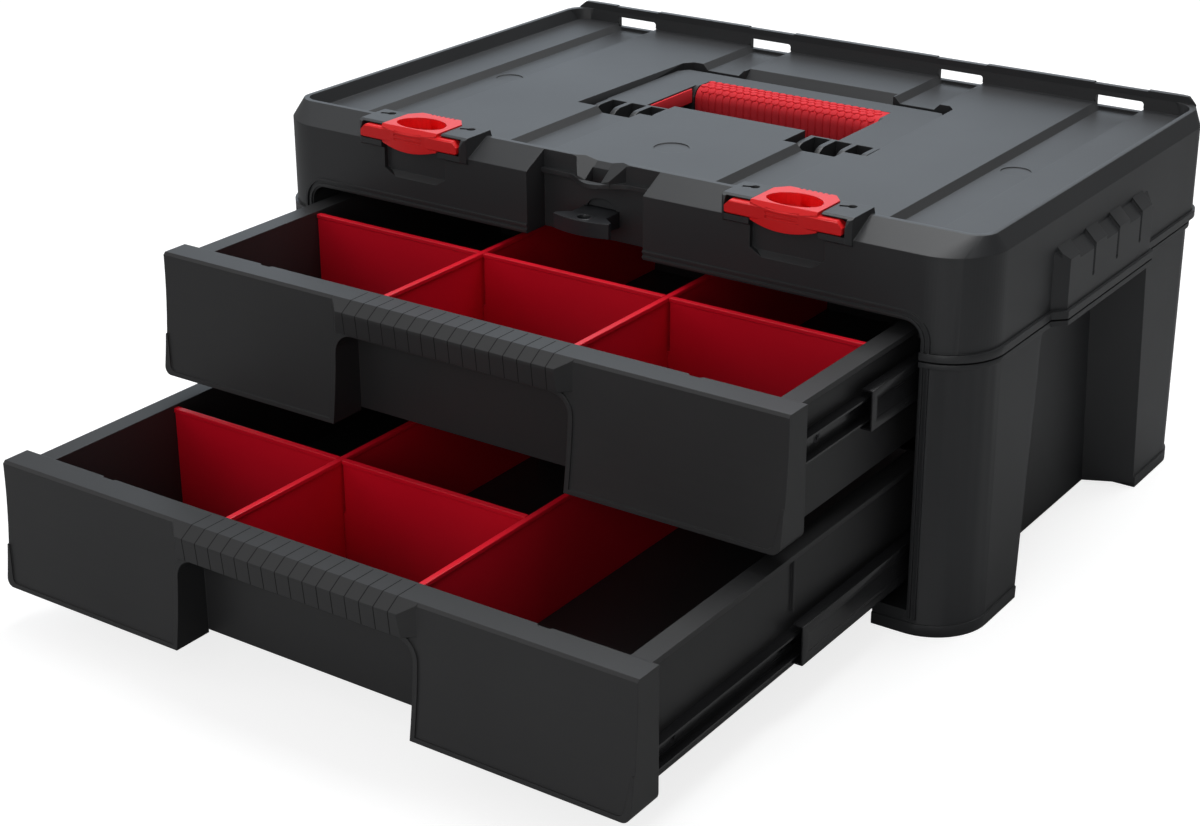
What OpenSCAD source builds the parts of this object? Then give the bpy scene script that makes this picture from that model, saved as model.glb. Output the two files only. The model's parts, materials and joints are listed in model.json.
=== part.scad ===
// Portable tool box with two drawers: a moulded case whose lid takes a folding carry handle,
// two toggle latches for a box stacked on top and a padlock tab, over two divided drawers that
// run on three-piece ball-bearing slides.
// Origin: on the floor under the case's balance point. +X right, +Y back, +Z up. Millimetres.

/* [Drawers] */
// Width of a drawer's front panel
panel_w = 413.2; // [400:0.1:440]
// Height of a drawer's front panel
panel_h = 72.6; // [70:0.1:84]
// Thickness of a drawer's front panel, front skin to back skin
panel_t = 17.2; // [16:0.1:22]
// How far the panel's lower edge flares forward
panel_flare = 5.6; // [3:0.1:7]
// How far the finger grip stands out of the panel
grip_out = 6.5; // [5:0.1:8]
// Half width of the finger grip at its root
grip_half = 80; // [70:0.5:84]
// Half width of the pull notch at the panel's lower edge
notch_half = 77.8; // [60:0.1:90]
// Height of the pull notch
notch_h = 52; // [46:0.1:54]
// Width of the bead round the pull notch
notch_bead = 2.8; // [2.5:0.1:5]
// Thickness of the drawer's side walls
side_t = 7.7; // [7:0.1:9]
// Width of the rim flange outside the drawer's side wall
flange_w = 4.3; // [2:0.1:6]
// How far the drawer opens, upper drawer as drawn
upper_open = 132.6; // [0:0.1:200]
// How far the drawer opens, lower drawer as drawn
lower_open = 261.2; // [0:0.1:262]

/* [Dividers] */
// Thickness of a divider
divider_t = 2; // [1.6:0.1:3]
// Width of the bead along a divider's top
divider_bead = 3.6; // [3:0.1:5]
// How far the dividers end below the panel's top
divider_drop = 4.2; // [3:0.1:8]
// Place of the long divider behind the panel's front face
divider_y = 111.5; // [90:0.5:180]
// Distance of the cross dividers from the drawer's middle
divider_x = 64; // [50:0.5:90]

/* [Slides] */
// Length of a slide member
slide_l = 270; // [250:1:280]
// Height of the outer slide member
slide_h = 31.2; // [30:0.1:32]
// Thickness of the whole slide
slide_t = 12.8; // [12.6:0.1:13.4]
// Thickness of the slide's steel strip
strip_t = 1.2; // [1:0.05:1.3]
// Radius of a ball
ball_r = 1.4; // [1.3:0.05:1.5]
// Length of a ball cage
cage_l = 100; // [80:1:110]
// Radius of a slide screw's shank
screw_r = 1.5; // [1.2:0.05:1.8]
// Length of a slide screw, head included
screw_l = 7.5; // [6:0.1:8]

/* [Case] */
// Width of a corner post beside the drawer bay
post_w = 31.5; // [30:0.1:40]
// Thickness of the case's walls
wall = 3; // [2.5:0.1:3.4]
// Height of the bay floor above the ground
floor_h = 14; // [13:0.1:18]
// Height of the feet
foot_h = 3; // [2:0.1:4]
// Length of a front foot
front_foot = 82; // [60:1:90]
// Length of a rear foot
rear_foot = 67; // [50:1:80]
// Radius of the lower case's front corners
front_r = 33; // [28:0.5:36]
// Radius of the lower case's rear corners
rear_r = 21; // [16:0.5:26]
// Distance from the bay's top down to the seam between case and lid
seam_drop = 21; // [19:0.5:23]
// Gap that shows at the seam
seam_gap = 1; // [0.6:0.1:1.6]
// How far the beads along the seam stand out
bead_out = 1.7; // [1:0.1:2.4]
// Length of a side recess at its back
recess_l = 122; // [100:1:128]

/* [Lid] */
// Height of the lid's pads above the bay's top
pad_rise = 38.5; // [37:0.1:44]
// Depth of the channels between the pads
channel_d = 4; // [3:0.1:4.5]
// Width of a channel at the pads
channel_w = 32; // [26:0.5:36]
// Place of the inner channels from the middle
channel_in = 72; // [70:0.5:76]
// Place of the outer channels from the middle
channel_out = 182.2; // [170:0.1:190]
// Height of the rim above the pads
rim_rise = 8; // [7:0.1:9]
// Height of the rear lip above the rim
lip_rise = 4.5; // [3:0.1:6]
// How far the lid overhangs the lower case at the rear
lid_overhang = 8.5; // [6:0.1:10]
// Length of a side hand grip
hand_l = 124; // [110:1:128]
// How far a side hand grip stands out
hand_out = 7; // [5:0.1:9]

/* [Latches] */
// Distance of a latch from the case's middle
latch_x = 127.2; // [120:0.1:140]
// Width of a latch's body
latch_w = 41; // [38:0.1:44]
// Width across both journals of a latch
latch_span = 72; // [68:0.1:74]
// Depth of a latch's body, front to back
latch_d = 33.5; // [31:0.1:36]
// Radius of a latch's journals
journal_r = 4.6; // [4.2:0.05:4.8]
// Clearance round the journals
journal_gap = 0.3; // [0.2:0.05:0.4]

/* [Handle] */
// Half width of the handle
handle_half = 98.5; // [97:0.5:100]
// Half width of the handle's opening
window_half = 69; // [66:0.5:72]
// Length of the handle behind its hinge
handle_l = 101.5; // [99:0.5:106]
// Thickness of the handle's plate
handle_t = 10; // [8:0.5:11]
// Half depth of the hand grip's section
grip_y = 18; // [16:0.1:19]
// Half height of the hand grip's section
grip_z = 14.6; // [13:0.1:15.5]
// Thickness of the grip's soft cover
grip_t = 4; // [3:0.1:5]
// Radius of a knuckle of the handle's hinge
knuckle_r = 12; // [10:0.1:12]
// Radius of the handle's hinge pins
pin_r = 3; // [2:0.1:4]

/* [Lock] */
// Half width of the padlock tab
tab_half = 19; // [14:0.1:20]
// Thickness of the padlock tab
tab_t = 9; // [7:0.1:9.4]
// Radius of the padlock hole
lock_r = 3.9; // [3:0.1:5]
// How far the padlock tab stands out of the recess's back wall
tab_out = 20.5; // [20.5:0.1:22]
// How far the padlock group sits left of the case's middle
lock_left = 5; // [0:0.5:8]

/* [Hidden] */
$fn = 48;

LEFT = -1;
RIGHT = 1;
LOWER = 0;
UPPER = 1;
cut = 1;                        // how far a cutter runs past what it cuts
fit = 0.05;                     // radial clearance of a shank or pin in its hole
play = 0.4;                     // clearance round a piece that slides in a slot
skin = 2.5;                     // thickness of a drawer's floor and end walls

// Heights
drawer_under = 8.2;             // bay floor to the lower drawer's panel
drawer_between = 9;             // between the two panels
drawer_over = 5.6;              // upper panel to the bay's top
lower_z = floor_h + drawer_under;
upper_z = lower_z + panel_h + drawer_between;
bay_top = upper_z + panel_h + drawer_over;
seam_z = bay_top - seam_drop;
lid_z = seam_z + seam_gap;
pad_z = bay_top + pad_rise;
channel_z = pad_z - channel_d;
ceiling_z = channel_z - wall;
rim_z = pad_z + rim_rise;
lip_z = rim_z + lip_rise;
bevel_z = pad_z - 1.3;
sill_z = floor_h - 4.5;

// Widths
panel_half = panel_w / 2;
panel_gap = 2.4;                // panel to the bay's side wall
bay_half = panel_half + panel_gap;
box_half = bay_half - slide_t;
inside_half = box_half - side_t;
case_half = bay_half + post_w;
side_bevel = 5.2;
front_bevel = 17.7;
rim_w = 3;

// Depths
panel_set = 2.5;                // closed panels lie this far behind the case's front face
slide_start = 20.3;             // panel front to the slides
box_end = slide_start + slide_l + 3.2;
bay_rear_gap = 13;
case_d = panel_set + box_end + bay_rear_gap + wall;
balance_y = 2;                  // the origin lies this far behind the lower case's middle
front_y = -case_d / 2 - balance_y;
rear_y = front_y + case_d;
lid_rear = rear_y + lid_overhang;
closed_y = front_y + panel_set;

function drawer_z(level) = level == UPPER ? upper_z : lower_z;
function drawer_open(level) = level == UPPER ? upper_open : lower_open;
function panel_y(level) = closed_y - drawer_open(level);

// ---------------------------------------------------------------- shared shapes

// Outline of the case in plan: front and rear corners have their own radii
module case_outline(half, y0, y1, r0, r1) {
    translate([-half, y0 + r0]) square([2 * half, y1 - y0 - r0 - r1]);
    translate([-half + r0, y0]) square([2 * (half - r0), r0 + cut]);
    translate([-half + r1, y1 - r1 - cut]) square([2 * (half - r1), r1 + cut]);
    for (s = [LEFT, RIGHT]) {
        translate([s * (half - r0), y0 + r0]) circle(r0, $fn = 96);
        translate([s * (half - r1), y1 - r1]) circle(r1, $fn = 96);
    }
}

module case_slab(grow, y1, z0, z1) {
    translate([0, 0, z0]) linear_extrude(z1 - z0)
        case_outline(case_half + grow, front_y - grow, y1 + grow, front_r + grow, rear_r + grow);
}

// Prism along X from a profile in Y and Z
module along_x(x0, x1) {
    translate([x0, 0, 0]) rotate([90, 0, 90]) linear_extrude(x1 - x0) children();
}

// Prism along Y from a profile in X and Z
module along_y(y0, y1) {
    translate([0, y1, 0]) rotate([90, 0, 0]) linear_extrude(y1 - y0) children();
}

module box(x0, x1, y0, y1, z0, z1) {
    translate([x0, y0, z0]) cube([x1 - x0, y1 - y0, z1 - z0]);
}

// Points of an arc about a centre, from angle a0 to a1
function arc(c, r, a0, a1, n = 8) =
    [for (i = [0:n]) [c[0] + r * cos(a0 + (a1 - a0) * i / n), c[1] + r * sin(a0 + (a1 - a0) * i / n)]];

// Arch open at the bottom: straight legs that may lean, and rounded top corners
function arch(half_low, half_top, z0, z1, r) = concat(
    [[-half_low, z0]],
    arc([-half_top + r, z1 - r], r, 180, 90),
    arc([half_top - r, z1 - r], r, 90, 0),
    [[half_low, z0]]);

// ---------------------------------------------------------------- slides

web_gap = 2.4;                  // free width between the outer and the middle member's webs
middle_s = strip_t + web_gap;   // the middle member's web starts here, from the bay wall
inner_s = slide_t - strip_t;    // the inner member's web starts here
outer_z = slide_h / 2 - strip_t;            // inner face of the outer member's flange
ball_gap = 0.15;
race = 2 * (ball_r + ball_gap);             // space between two flanges that hold a row
middle_z = outer_z - race;
inner_race_z = middle_z - strip_t;
inner_z = inner_race_z - race;
outer_row_z = outer_z - race / 2;
inner_row_z = inner_race_z - race / 2;
outer_row_s = middle_s + 1.8;
inner_row_s = inner_s - 3.0;
flange_s = outer_row_s + 1.8;               // how far the outer member's flanges reach
middle_flange_s = inner_row_s + 1.8;
inner_flange_s = inner_row_s - 1.8;
cage_t = 0.6;
cage_half = 0.5;                            // half the width of a cage strip
row_balls = 6;
slide_mid = closed_y + slide_start + slide_l / 2;
cage_pitch = cage_l / row_balls;

lower_slide_up = 18.3;          // panel's lower edge to the slide's middle
upper_slide_up = 43.2;
function slide_up(level) = level == UPPER ? upper_slide_up : lower_slide_up;
function slide_z(level) = drawer_z(level) + slide_up(level);
function share(part) =
    part == "outer" ? 0 : part == "cage_outer" ? 0.25 : part == "middle" ? 0.5
    : part == "cage_inner" ? 0.75 : 1;

// Places a slide piece: s is measured from the bay wall towards the drawer
module on_slide(level, side, part) {
    translate([0, slide_mid - share(part) * drawer_open(level), slide_z(level)])
        if (side == RIGHT)
            translate([bay_half, 0, 0]) mirror([1, 0, 0]) children();
        else
            translate([-bay_half, 0, 0]) children();
}

// Channel section: web from s0, flanges from f0 to f1 ending at height h
module channel(s0, f0, f1, h, l) {
    box(s0, s0 + strip_t, -l / 2, l / 2, -h, h);
    for (k = [-1, 1])
        box(f0, f1, -l / 2, l / 2, k > 0 ? h - strip_t : -h, k > 0 ? h : -h + strip_t);
}

case_screws = [-112, 112];
drawer_screws = [-112, 0, 112];
head_r = 2 * screw_r;
head_d = screw_r;

// A countersunk screw with its head's top at the origin, its point along +X
module screw_x(l) {
    difference() {
        rotate([0, 90, 0]) rotate_extrude() polygon([
            [0, 0], [head_r, 0], [screw_r, head_d], [screw_r, l - screw_r], [0, l]]);
        box(-cut, 0.6, -0.35, 0.35, -1.7, 1.7);
        box(-cut, 0.6, -1.7, 1.7, -0.35, 0.35);
    }
}

// The countersunk hole for it
module screw_hole_x(l) {
    rotate([0, 90, 0]) rotate_extrude() polygon([
        [0, -cut], [head_r + fit, -cut], [head_r + fit, fit], [screw_r + fit, head_d],
        [screw_r + fit, l + fit], [0, l + fit]]);
}

module slide_outer(level, side) color([0.05, 0.05, 0.055])
    on_slide(level, side, "outer") difference() {
        channel(0, 0, flange_s, slide_h / 2, slide_l);
        for (y = case_screws)
            translate([strip_t, y, 0]) mirror([1, 0, 0]) screw_hole_x(screw_l);
    }

module slide_middle(level, side) color([0.05, 0.05, 0.055])
    on_slide(level, side, "middle") channel(middle_s, middle_s, middle_flange_s, middle_z, slide_l);

module slide_inner(level, side) color([0.05, 0.05, 0.055])
    on_slide(level, side, "inner") difference() {
        channel(inner_s, inner_flange_s, slide_t, inner_z, slide_l);
        for (y = drawer_screws) translate([inner_s, y, 0]) screw_hole_x(screw_l);
    }

// Ball places along a cage
function ball_y(i) = (i - (row_balls - 1) / 2) * cage_pitch;

module cage_shape(web_s, reach_s, row_s, row_z) difference() {
    union() {
        box(web_s, web_s + cage_t, -cage_l / 2, cage_l / 2, -row_z - cage_half, row_z + cage_half);
        for (k = [-1, 1])
            box(web_s, reach_s, -cage_l / 2, cage_l / 2, k * row_z - cage_half, k * row_z + cage_half);
    }
    for (k = [-1, 1], i = [0:row_balls - 1])
        translate([row_s, ball_y(i), k * row_z]) cylinder(h = 4, r = ball_r + 0.1, center = true);
}

module balls_shape(row_s, row_z)
    for (k = [-1, 1], i = [0:row_balls - 1])
        translate([row_s, ball_y(i), k * row_z]) sphere(ball_r);

module cage_outer(level, side) color([0.75, 0.75, 0.78]) on_slide(level, side, "cage_outer")
    cage_shape(strip_t + 0.8, flange_s - 0.2, outer_row_s, outer_row_z);
module cage_inner(level, side) color([0.75, 0.75, 0.78]) on_slide(level, side, "cage_inner")
    cage_shape(middle_s + strip_t + 0.6, middle_flange_s - 0.2, inner_row_s, inner_row_z);
module balls_outer(level, side) color([0.8, 0.8, 0.82]) on_slide(level, side, "cage_outer")
    balls_shape(outer_row_s, outer_row_z);
module balls_inner(level, side) color([0.8, 0.8, 0.82]) on_slide(level, side, "cage_inner")
    balls_shape(inner_row_s, inner_row_z);

// Screws that hold the outer members to the case
module slide_screws_case() color([0.1, 0.1, 0.11])
    for (level = [LOWER, UPPER], side = [LEFT, RIGHT]) on_slide(level, side, "outer")
        for (y = case_screws) translate([strip_t, y, 0]) mirror([1, 0, 0]) screw_x(screw_l);

// Screws that hold the inner members to a drawer
module slide_screws_drawer(level) color([0.1, 0.1, 0.11])
    for (side = [LEFT, RIGHT]) on_slide(level, side, "inner")
        for (y = drawer_screws) translate([inner_s, y, 0]) screw_x(screw_l);

// ---------------------------------------------------------------- drawers

flare_z = 68;                   // the panel's face starts to flare forward below this height
foot_bead_h = 2.4;
bead_proud = 0.9;               // how far the panel's beads stand out
bead_rise = 24;                 // the lower bead turns up this far at its ends
bead_end = 4;
panel_skin = 3;
top_edge = 1.5;                 // chamfer along the panel's top
corner_r = 5;                   // lower corners of the panel, seen from the front
notch_r = 11;                   // upper corners of the notch
box_floor = 1.8;
box_top = panel_h - 2.5;
flange_t = 3;
rib_t = 2;                      // stiffening ribs outside the drawer
rib_w = 1.5;
rib_y = 153;
grip_slant = 8.5;               // slant of the finger grip's ends
grip_nose = 5;                  // the grip's front edge lies this far below the panel's top
grip_lean = 1.2;                // how far the grip's face leans back towards the notch
dimple_x = 143;
dimple_r = 5;
core_l = 80;                    // cores that thin the side walls between the screws
core_y = 56;

// Forward reach of the panel's face at height z
function face_y(z) = z < flare_z ? -panel_flare * pow((flare_z - z) / flare_z, 2) : 0;

// Side profile of the panel, grown forward by g
function panel_profile(g, back, z0, z1) = concat(
    [for (i = [0:8]) let (z = z0 + (flare_z - z0) * i / 8) [face_y(z) - g, z]],
    [[-g, z1 - top_edge], [top_edge - g, z1], [back, z1], [back, z0]]);

module notch_outline(grow) polygon(arch(
    notch_half + grow, notch_half + grow, -cut, notch_h + grow, notch_r + grow));

// Outline of the panel from the front, its lower corners rounded
module panel_front() polygon(concat(
    arc([-panel_half + corner_r, corner_r], corner_r, 180, 270),
    arc([panel_half - corner_r, corner_r], corner_r, 270, 360),
    [[panel_half, panel_h], [-panel_half, panel_h]]));

// Bead along the lower edge that turns up at both ends
module edge_bead() difference() {
    translate([-panel_half, 0]) square([2 * panel_half, bead_rise]);
    polygon(concat([[-panel_half + 1, bead_rise + cut]],
        arc([-panel_half + 2 * bead_end, foot_bead_h + bead_end], bead_end, 180, 270),
        arc([panel_half - 2 * bead_end, foot_bead_h + bead_end], bead_end, 270, 360),
        [[panel_half - 1, bead_rise + cut]]));
}

module panel() difference() {
    union() {
        difference() {
            intersection() {
                along_x(-panel_half, panel_half) polygon(panel_profile(0, panel_t, 0, panel_h));
                along_y(-2 * panel_flare, panel_t + cut) panel_front();
            }
            // hollow behind the face, open at the bottom
            along_x(-panel_half + panel_skin, panel_half - panel_skin) translate([panel_skin, 0])
                polygon(panel_profile(0, panel_t - 2 * panel_skin, -cut, panel_h - panel_skin));
        }
        // beads along the lower edge and round the notch
        intersection() {
            along_x(-panel_half, panel_half)
                polygon(panel_profile(bead_proud, panel_t, 0, panel_h));
            along_y(-2 * panel_flare, panel_t + cut) panel_front();
            union() {
                along_y(-2 * panel_flare, panel_t) notch_outline(notch_bead);
                along_y(-2 * panel_flare, panel_skin) edge_bead();
            }
        }
        finger_grip();
        // back skin, which is also the box's front wall
        box(-box_half, box_half, panel_t - cut, panel_t + skin, box_floor, box_top);
    }
    along_y(-3 * panel_flare, panel_t) notch_outline(0);
    for (s = [LEFT, RIGHT]) translate([s * dimple_x, panel_t + skin, panel_h - 0.8])
        cylinder(h = 2, r = dimple_r);
}

// Finger grip along the top of the panel
module finger_grip() intersection() {
    z0 = notch_h + notch_bead;
    along_x(-grip_half, grip_half) polygon([
        [panel_skin, z0], [-grip_out + grip_lean, z0], [-grip_out, panel_h - grip_nose - 1.5],
        [-grip_out, panel_h - grip_nose], [top_edge, panel_h], [panel_skin, panel_h]]);
    translate([0, 0, z0 - cut]) linear_extrude(panel_h - z0 + 2 * cut) polygon([
        [-grip_half, 0], [-grip_half + grip_slant, -grip_out - cut],
        [grip_half - grip_slant, -grip_out - cut],
        [grip_half, 0], [grip_half, panel_skin], [-grip_half, panel_skin]]);
}

module drawer_box(level) {
    // floor
    box(-box_half, box_half, panel_t + skin - cut, box_end, box_floor, box_floor + skin);
    // rear wall
    box(-box_half, box_half, box_end - skin, box_end, box_floor, box_top);
    for (s = [LEFT, RIGHT]) {
        x0 = s > 0 ? inside_half : -box_half;
        box(x0, x0 + side_t, panel_t + skin - cut, box_end, box_floor, box_top);
        x1 = s > 0 ? box_half - cut : -box_half - flange_w;
        box(x1, x1 + flange_w + cut, panel_t - cut, box_end, box_top - flange_t, box_top);
        // stiffening rib between the flange and the slide
        x2 = s > 0 ? box_half - cut : -box_half - rib_w;
        box(x2, x2 + rib_w + cut, rib_y, rib_y + rib_t, slide_up(level) + slide_h / 2 + 1, box_top - cut);
    }
}

module drawer(level) color([0.19, 0.19, 0.2]) difference() {
    translate([0, panel_y(level), drawer_z(level)]) {
        panel();
        difference() {
            drawer_box(level);
            // the slide's seat runs the whole height, so cores thin the wall between the screws
            for (s = [LEFT, RIGHT], y = [-core_y, core_y])
                translate([s * (inside_half + side_t / 2) - (side_t - 2 * skin) / 2,
                           slide_mid - closed_y + y - core_l / 2, box_floor - cut])
                    cube([side_t - 2 * skin, core_l, box_top - box_floor - skin]);
        }
    }
    for (side = [LEFT, RIGHT]) on_slide(level, side, "inner")
        for (y = drawer_screws) translate([inner_s, y, 0]) screw_hole_x(screw_l);
}

// ---------------------------------------------------------------- dividers

divider_z0 = box_floor + skin;
divider_z1 = panel_h - divider_drop;
divider_mid = (divider_z0 + divider_z1) / 2;
bead_h = 2.5;
lap = 0.3;                      // clearance in the crossing slots

// A divider along X from x0 to x1, standing on the drawer's floor
module divider_long(level, x1) color([0.75, 0.04, 0.1])
    translate([0, panel_y(level) + divider_y, drawer_z(level)]) difference() {
        union() {
            box(-inside_half, x1, -divider_t / 2, divider_t / 2, divider_z0, divider_z1);
            box(-inside_half, x1, -divider_bead / 2, divider_bead / 2, divider_z1 - bead_h, divider_z1);
        }
        for (s = [LEFT, RIGHT])
            box(s * divider_x - divider_bead / 2 - lap, s * divider_x + divider_bead / 2 + lap,
                -divider_bead, divider_bead, divider_mid, divider_z1 + cut);
    }

// A divider along Y at x, notched from below over the long one
module divider_cross(level, x, through) color([0.75, 0.04, 0.1])
    translate([x, panel_y(level), drawer_z(level)]) difference() {
        y0 = panel_t + skin;
        y1 = box_end - skin;
        union() {
            box(-divider_t / 2, divider_t / 2, y0, y1, divider_z0, divider_z1);
            box(-divider_bead / 2, divider_bead / 2, y0, y1, divider_z1 - bead_h, divider_z1);
        }
        if (through)
            box(-divider_bead, divider_bead, divider_y - divider_t / 2 - lap,
                divider_y + divider_t / 2 + lap, divider_z0 - cut, divider_mid);
    }

module upper_divider_long() divider_long(UPPER, inside_half);
module upper_divider_left() divider_cross(UPPER, -divider_x, true);
module upper_divider_right() divider_cross(UPPER, divider_x, true);
module lower_divider_long() divider_long(LOWER, divider_x - divider_bead / 2);
module lower_divider_left() divider_cross(LOWER, -divider_x, true);
module lower_divider_right() divider_cross(LOWER, divider_x, false);

// ---------------------------------------------------------------- lower case

recess_top = seam_z - 4.5;
recess_lean = 25.3;             // how far the recess's end walls slant in plan
recess_draft = 4;               // and how far they lean out towards the ground
boss_x = case_half - 17.5;
boss_front = front_y + 35;
boss_rear = rear_y - 36;
boss_r = 8;
well_r = 5.2;
shell_screw_r = 2;
shell_screw_l = 34;
screw_seat = seam_z - 20;
ring_h = 4;

// The hollow in a side wall, grown by g so that a wall can be left round it
module side_recess(s, g) {
    x0 = bay_half + wall - g;
    difference() {
        translate([s > 0 ? x0 : -x0 - post_w - 20, -recess_l, -cut])
            cube([post_w + 20, 2 * recess_l, recess_top + cut + g]);
        for (k = [-1, 1])
            translate([s * x0, k * (recess_l / 2 + g), recess_top])
                rotate([k * recess_draft, 0, s * k * recess_lean])
                    translate([-2 * recess_l, k > 0 ? 0 : -3 * recess_l, -2 * recess_l])
                        cube([4 * recess_l, 3 * recess_l, 4 * recess_l]);
    }
}

// Space inside the corner posts, open at the top
module post_cavity(s) difference() {
    intersection() {
        case_slab(-wall, rear_y, floor_h, seam_z + 2 * cut);
        translate([s > 0 ? bay_half + wall : -case_half, front_y, 0])
            cube([post_w - wall, case_d, seam_z + 2 * cut]);
    }
    side_recess(s, wall);
}

rib_bead = 1.4;                 // width of each bead round the opening

// Two beads round the drawers' opening, standing out of the front face
module opening_bead() for (g = [1, 4.2])
    along_y(front_y - 0.9, front_y + cut) difference() {
        polygon(arch(bay_half + g + rib_bead, bay_half + g + rib_bead, sill_z, bay_top + g + rib_bead,
                     10.2 + g + rib_bead));
        polygon(arch(bay_half + g, bay_half + g, sill_z - cut, bay_top + g, 10.2 + g));
    }

module bay() along_y(front_y - 3 * cut, front_y + 2 * wall)
    polygon(arch(bay_half, bay_half, floor_h, bay_top, 10));

module at_bosses() for (s = [LEFT, RIGHT], y = [boss_front, boss_rear])
    translate([s * boss_x, y, 0]) children();

// Bead that follows the seam and steps out round the hand grips
module seam_bead(y1, z0, z1, out) {
    case_slab(out, y1, z0, z1);
    for (s = [LEFT, RIGHT]) hand_slab(s, out, z0, z1);
}

// Plan of a side hand grip, grown by g
module hand_slab(s, g, z0, z1) translate([0, 0, z0]) linear_extrude(z1 - z0)
    polygon([
        [s * (case_half - 2 * wall), -hand_l / 2 - g - hand_out / 2],
        [s * (case_half + g), -hand_l / 2 - g - hand_out / 2],
        [s * (case_half + hand_out + g), -hand_l / 2 - g + hand_out / 2],
        [s * (case_half + hand_out + g), hand_l / 2 + g - hand_out / 2],
        [s * (case_half + g), hand_l / 2 + g + hand_out / 2],
        [s * (case_half - 2 * wall), hand_l / 2 + g + hand_out / 2]]);

module lower_shell() color([0.17, 0.17, 0.18]) difference() {
    union() {
        difference() {
            union() {
                case_slab(0, rear_y, foot_h, seam_z);
                case_slab(0.9, rear_y, foot_h, foot_h + ring_h);
                seam_bead(rear_y, seam_z - 3, seam_z, bead_out);
                // tongue that carries the lid
                case_slab(-wall / 2, rear_y, seam_z - cut, lid_z);
                intersection() {
                    opening_bead();
                    translate([-case_half, front_y - 2 * cut, 0])
                        cube([2 * case_half, 3 * cut, seam_z]);
                }
            }
            translate([-bay_half, front_y - 3 * cut, floor_h])
                cube([2 * bay_half, case_d - wall + 3 * cut, lid_z]);
            for (s = [LEFT, RIGHT]) {
                post_cavity(s);
                side_recess(s, 0);
            }
        }
        // bosses for the case's long screws and for the slides' screws
        intersection() {
            at_bosses() cylinder(h = seam_z, r = boss_r);
            case_slab(-wall / 2, rear_y, foot_h, seam_z);
        }
        for (level = [LOWER, UPPER], s = [LEFT, RIGHT], y = case_screws)
            translate([s * (bay_half + wall - cut), slide_mid + y, slide_z(level)])
                rotate([0, s * 90, 0]) cylinder(h = screw_l, r = 2.6 * screw_r);
        feet();
    }
    // chamfered sill between the front feet
    along_x(-foot_x, foot_x) polygon([
        [front_y - 2 * cut, 0], [front_y + 14, 0], [front_y + 14, foot_h],
        [front_y + 6, sill_z], [front_y - 2 * cut, sill_z]]);
    underside();
    at_bosses() translate([0, 0, -cut]) cylinder(h = screw_seat + cut, r = well_r);
    at_bosses() cylinder(h = seam_z + cut, r = shell_screw_r + fit);
    for (level = [LOWER, UPPER], s = [LEFT, RIGHT], y = case_screws)
        on_slide(level, s, "outer") translate([strip_t, y, 0]) mirror([1, 0, 0])
            screw_hole_x(screw_l);
}

foot_x = 188;

// Four feet under the corners, following the case's outline
module feet() difference() {
    case_slab(0.9, rear_y, 0, foot_h + cut);
    box(-foot_x, foot_x, front_y - wall, rear_y + wall, -cut, foot_h + 2 * cut);
    box(-case_half - wall, case_half + wall, front_y + front_foot, rear_y - rear_foot,
        -cut, foot_h + 2 * cut);
    for (s = [LEFT, RIGHT]) side_recess(s, 0);
}

pocket_nx = 6;
pocket_ny = 4;

// Pockets that leave ribs under the bay floor
module underside() {
    px = 2 * (bay_half - wall) / pocket_nx;
    py = (case_d - 40) / pocket_ny;
    for (i = [0:pocket_nx - 1], j = [0:pocket_ny - 1])
        translate([-bay_half + wall + i * px, front_y + 20 + j * py, -cut])
            cube([px - wall, py - wall, floor_h - wall + cut]);
}

module shell_screws() color([0.25, 0.25, 0.27]) at_bosses() difference() {
    union() {
        translate([0, 0, screw_seat - 3]) cylinder(h = 3, r = 4);
        translate([0, 0, screw_seat - 0.5]) cylinder(h = shell_screw_l, r = shell_screw_r);
    }
    translate([0, 0, screw_seat - 4]) box(-2.6, 2.6, -0.5, 0.5, 0, 3);
    translate([0, 0, screw_seat - 4]) box(-0.5, 0.5, -2.6, 2.6, 0, 3);
}

// ---------------------------------------------------------------- lid

hinge_y = front_y - 2.5;        // latch hinge axis
hinge_z = pad_z + 5.3;
swing_r = 9.5;                  // radius swept by a latch's lower lip
latch_gap = 0.8;
latch_low = bay_top + 17;       // bottom of the pocket below a latch
latch_sink = 3;                 // depth of that pocket
bracket_half = latch_span / 2 + 4;
bracket_z = rim_z + 3;
bracket_front = front_y - 4.5;
bracket_edge = 3;               // chamfer of a bracket's outer front corner
key_x = latch_w / 2 + 9.5;
key_y = front_y + 16.5;

lock_x = -lock_left;
lock_half = 40;                 // half width of the padlock recess
lock_wall = front_y + 17.5;     // front of the recess's back wall
lock_z = bay_top + 8.5;         // underside of the padlock tab
tongue_z = pad_z - 2.5;
tongue_t = 2.8;
tongue_reach = 3;               // the ledge over the tab stands this far out of the wall
tongue_bulge = 10.4;             // and this much further in the middle
bulge_half = 22;
saddle_rear = 18;               // half widths of the saddle on the ledge
saddle_front = 11;
saddle_d = 8.5;
trough_z = pad_z + 5.5;         // lowest point of the rim over the saddle
trough_slope = 35;
slot_half = 5.5;
neck_half = 12;                 // half width of the tab's shank
stop_w = 5;                     // the shank's stop stands out this far on each side
stop_l = 5;
tab_in = 25;                    // length of the tab behind the wall
guide_l = 39;
guide_t = 2.4;
relief_r = 10;                  // half-round relief over the tab's slot
relief_h = 6;
relief_d = 1.6;

hand_top = lid_z + 33.5;        // front upper edge of a side hand grip
hand_step = 2.5;                // its lobes end this much lower than their tabs
hand_tab = 16;
hand_mid = 7.8;                 // place of the middle groove
hand_pitch = 33.2;
hand_groove_z = lid_z + 16;

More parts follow.
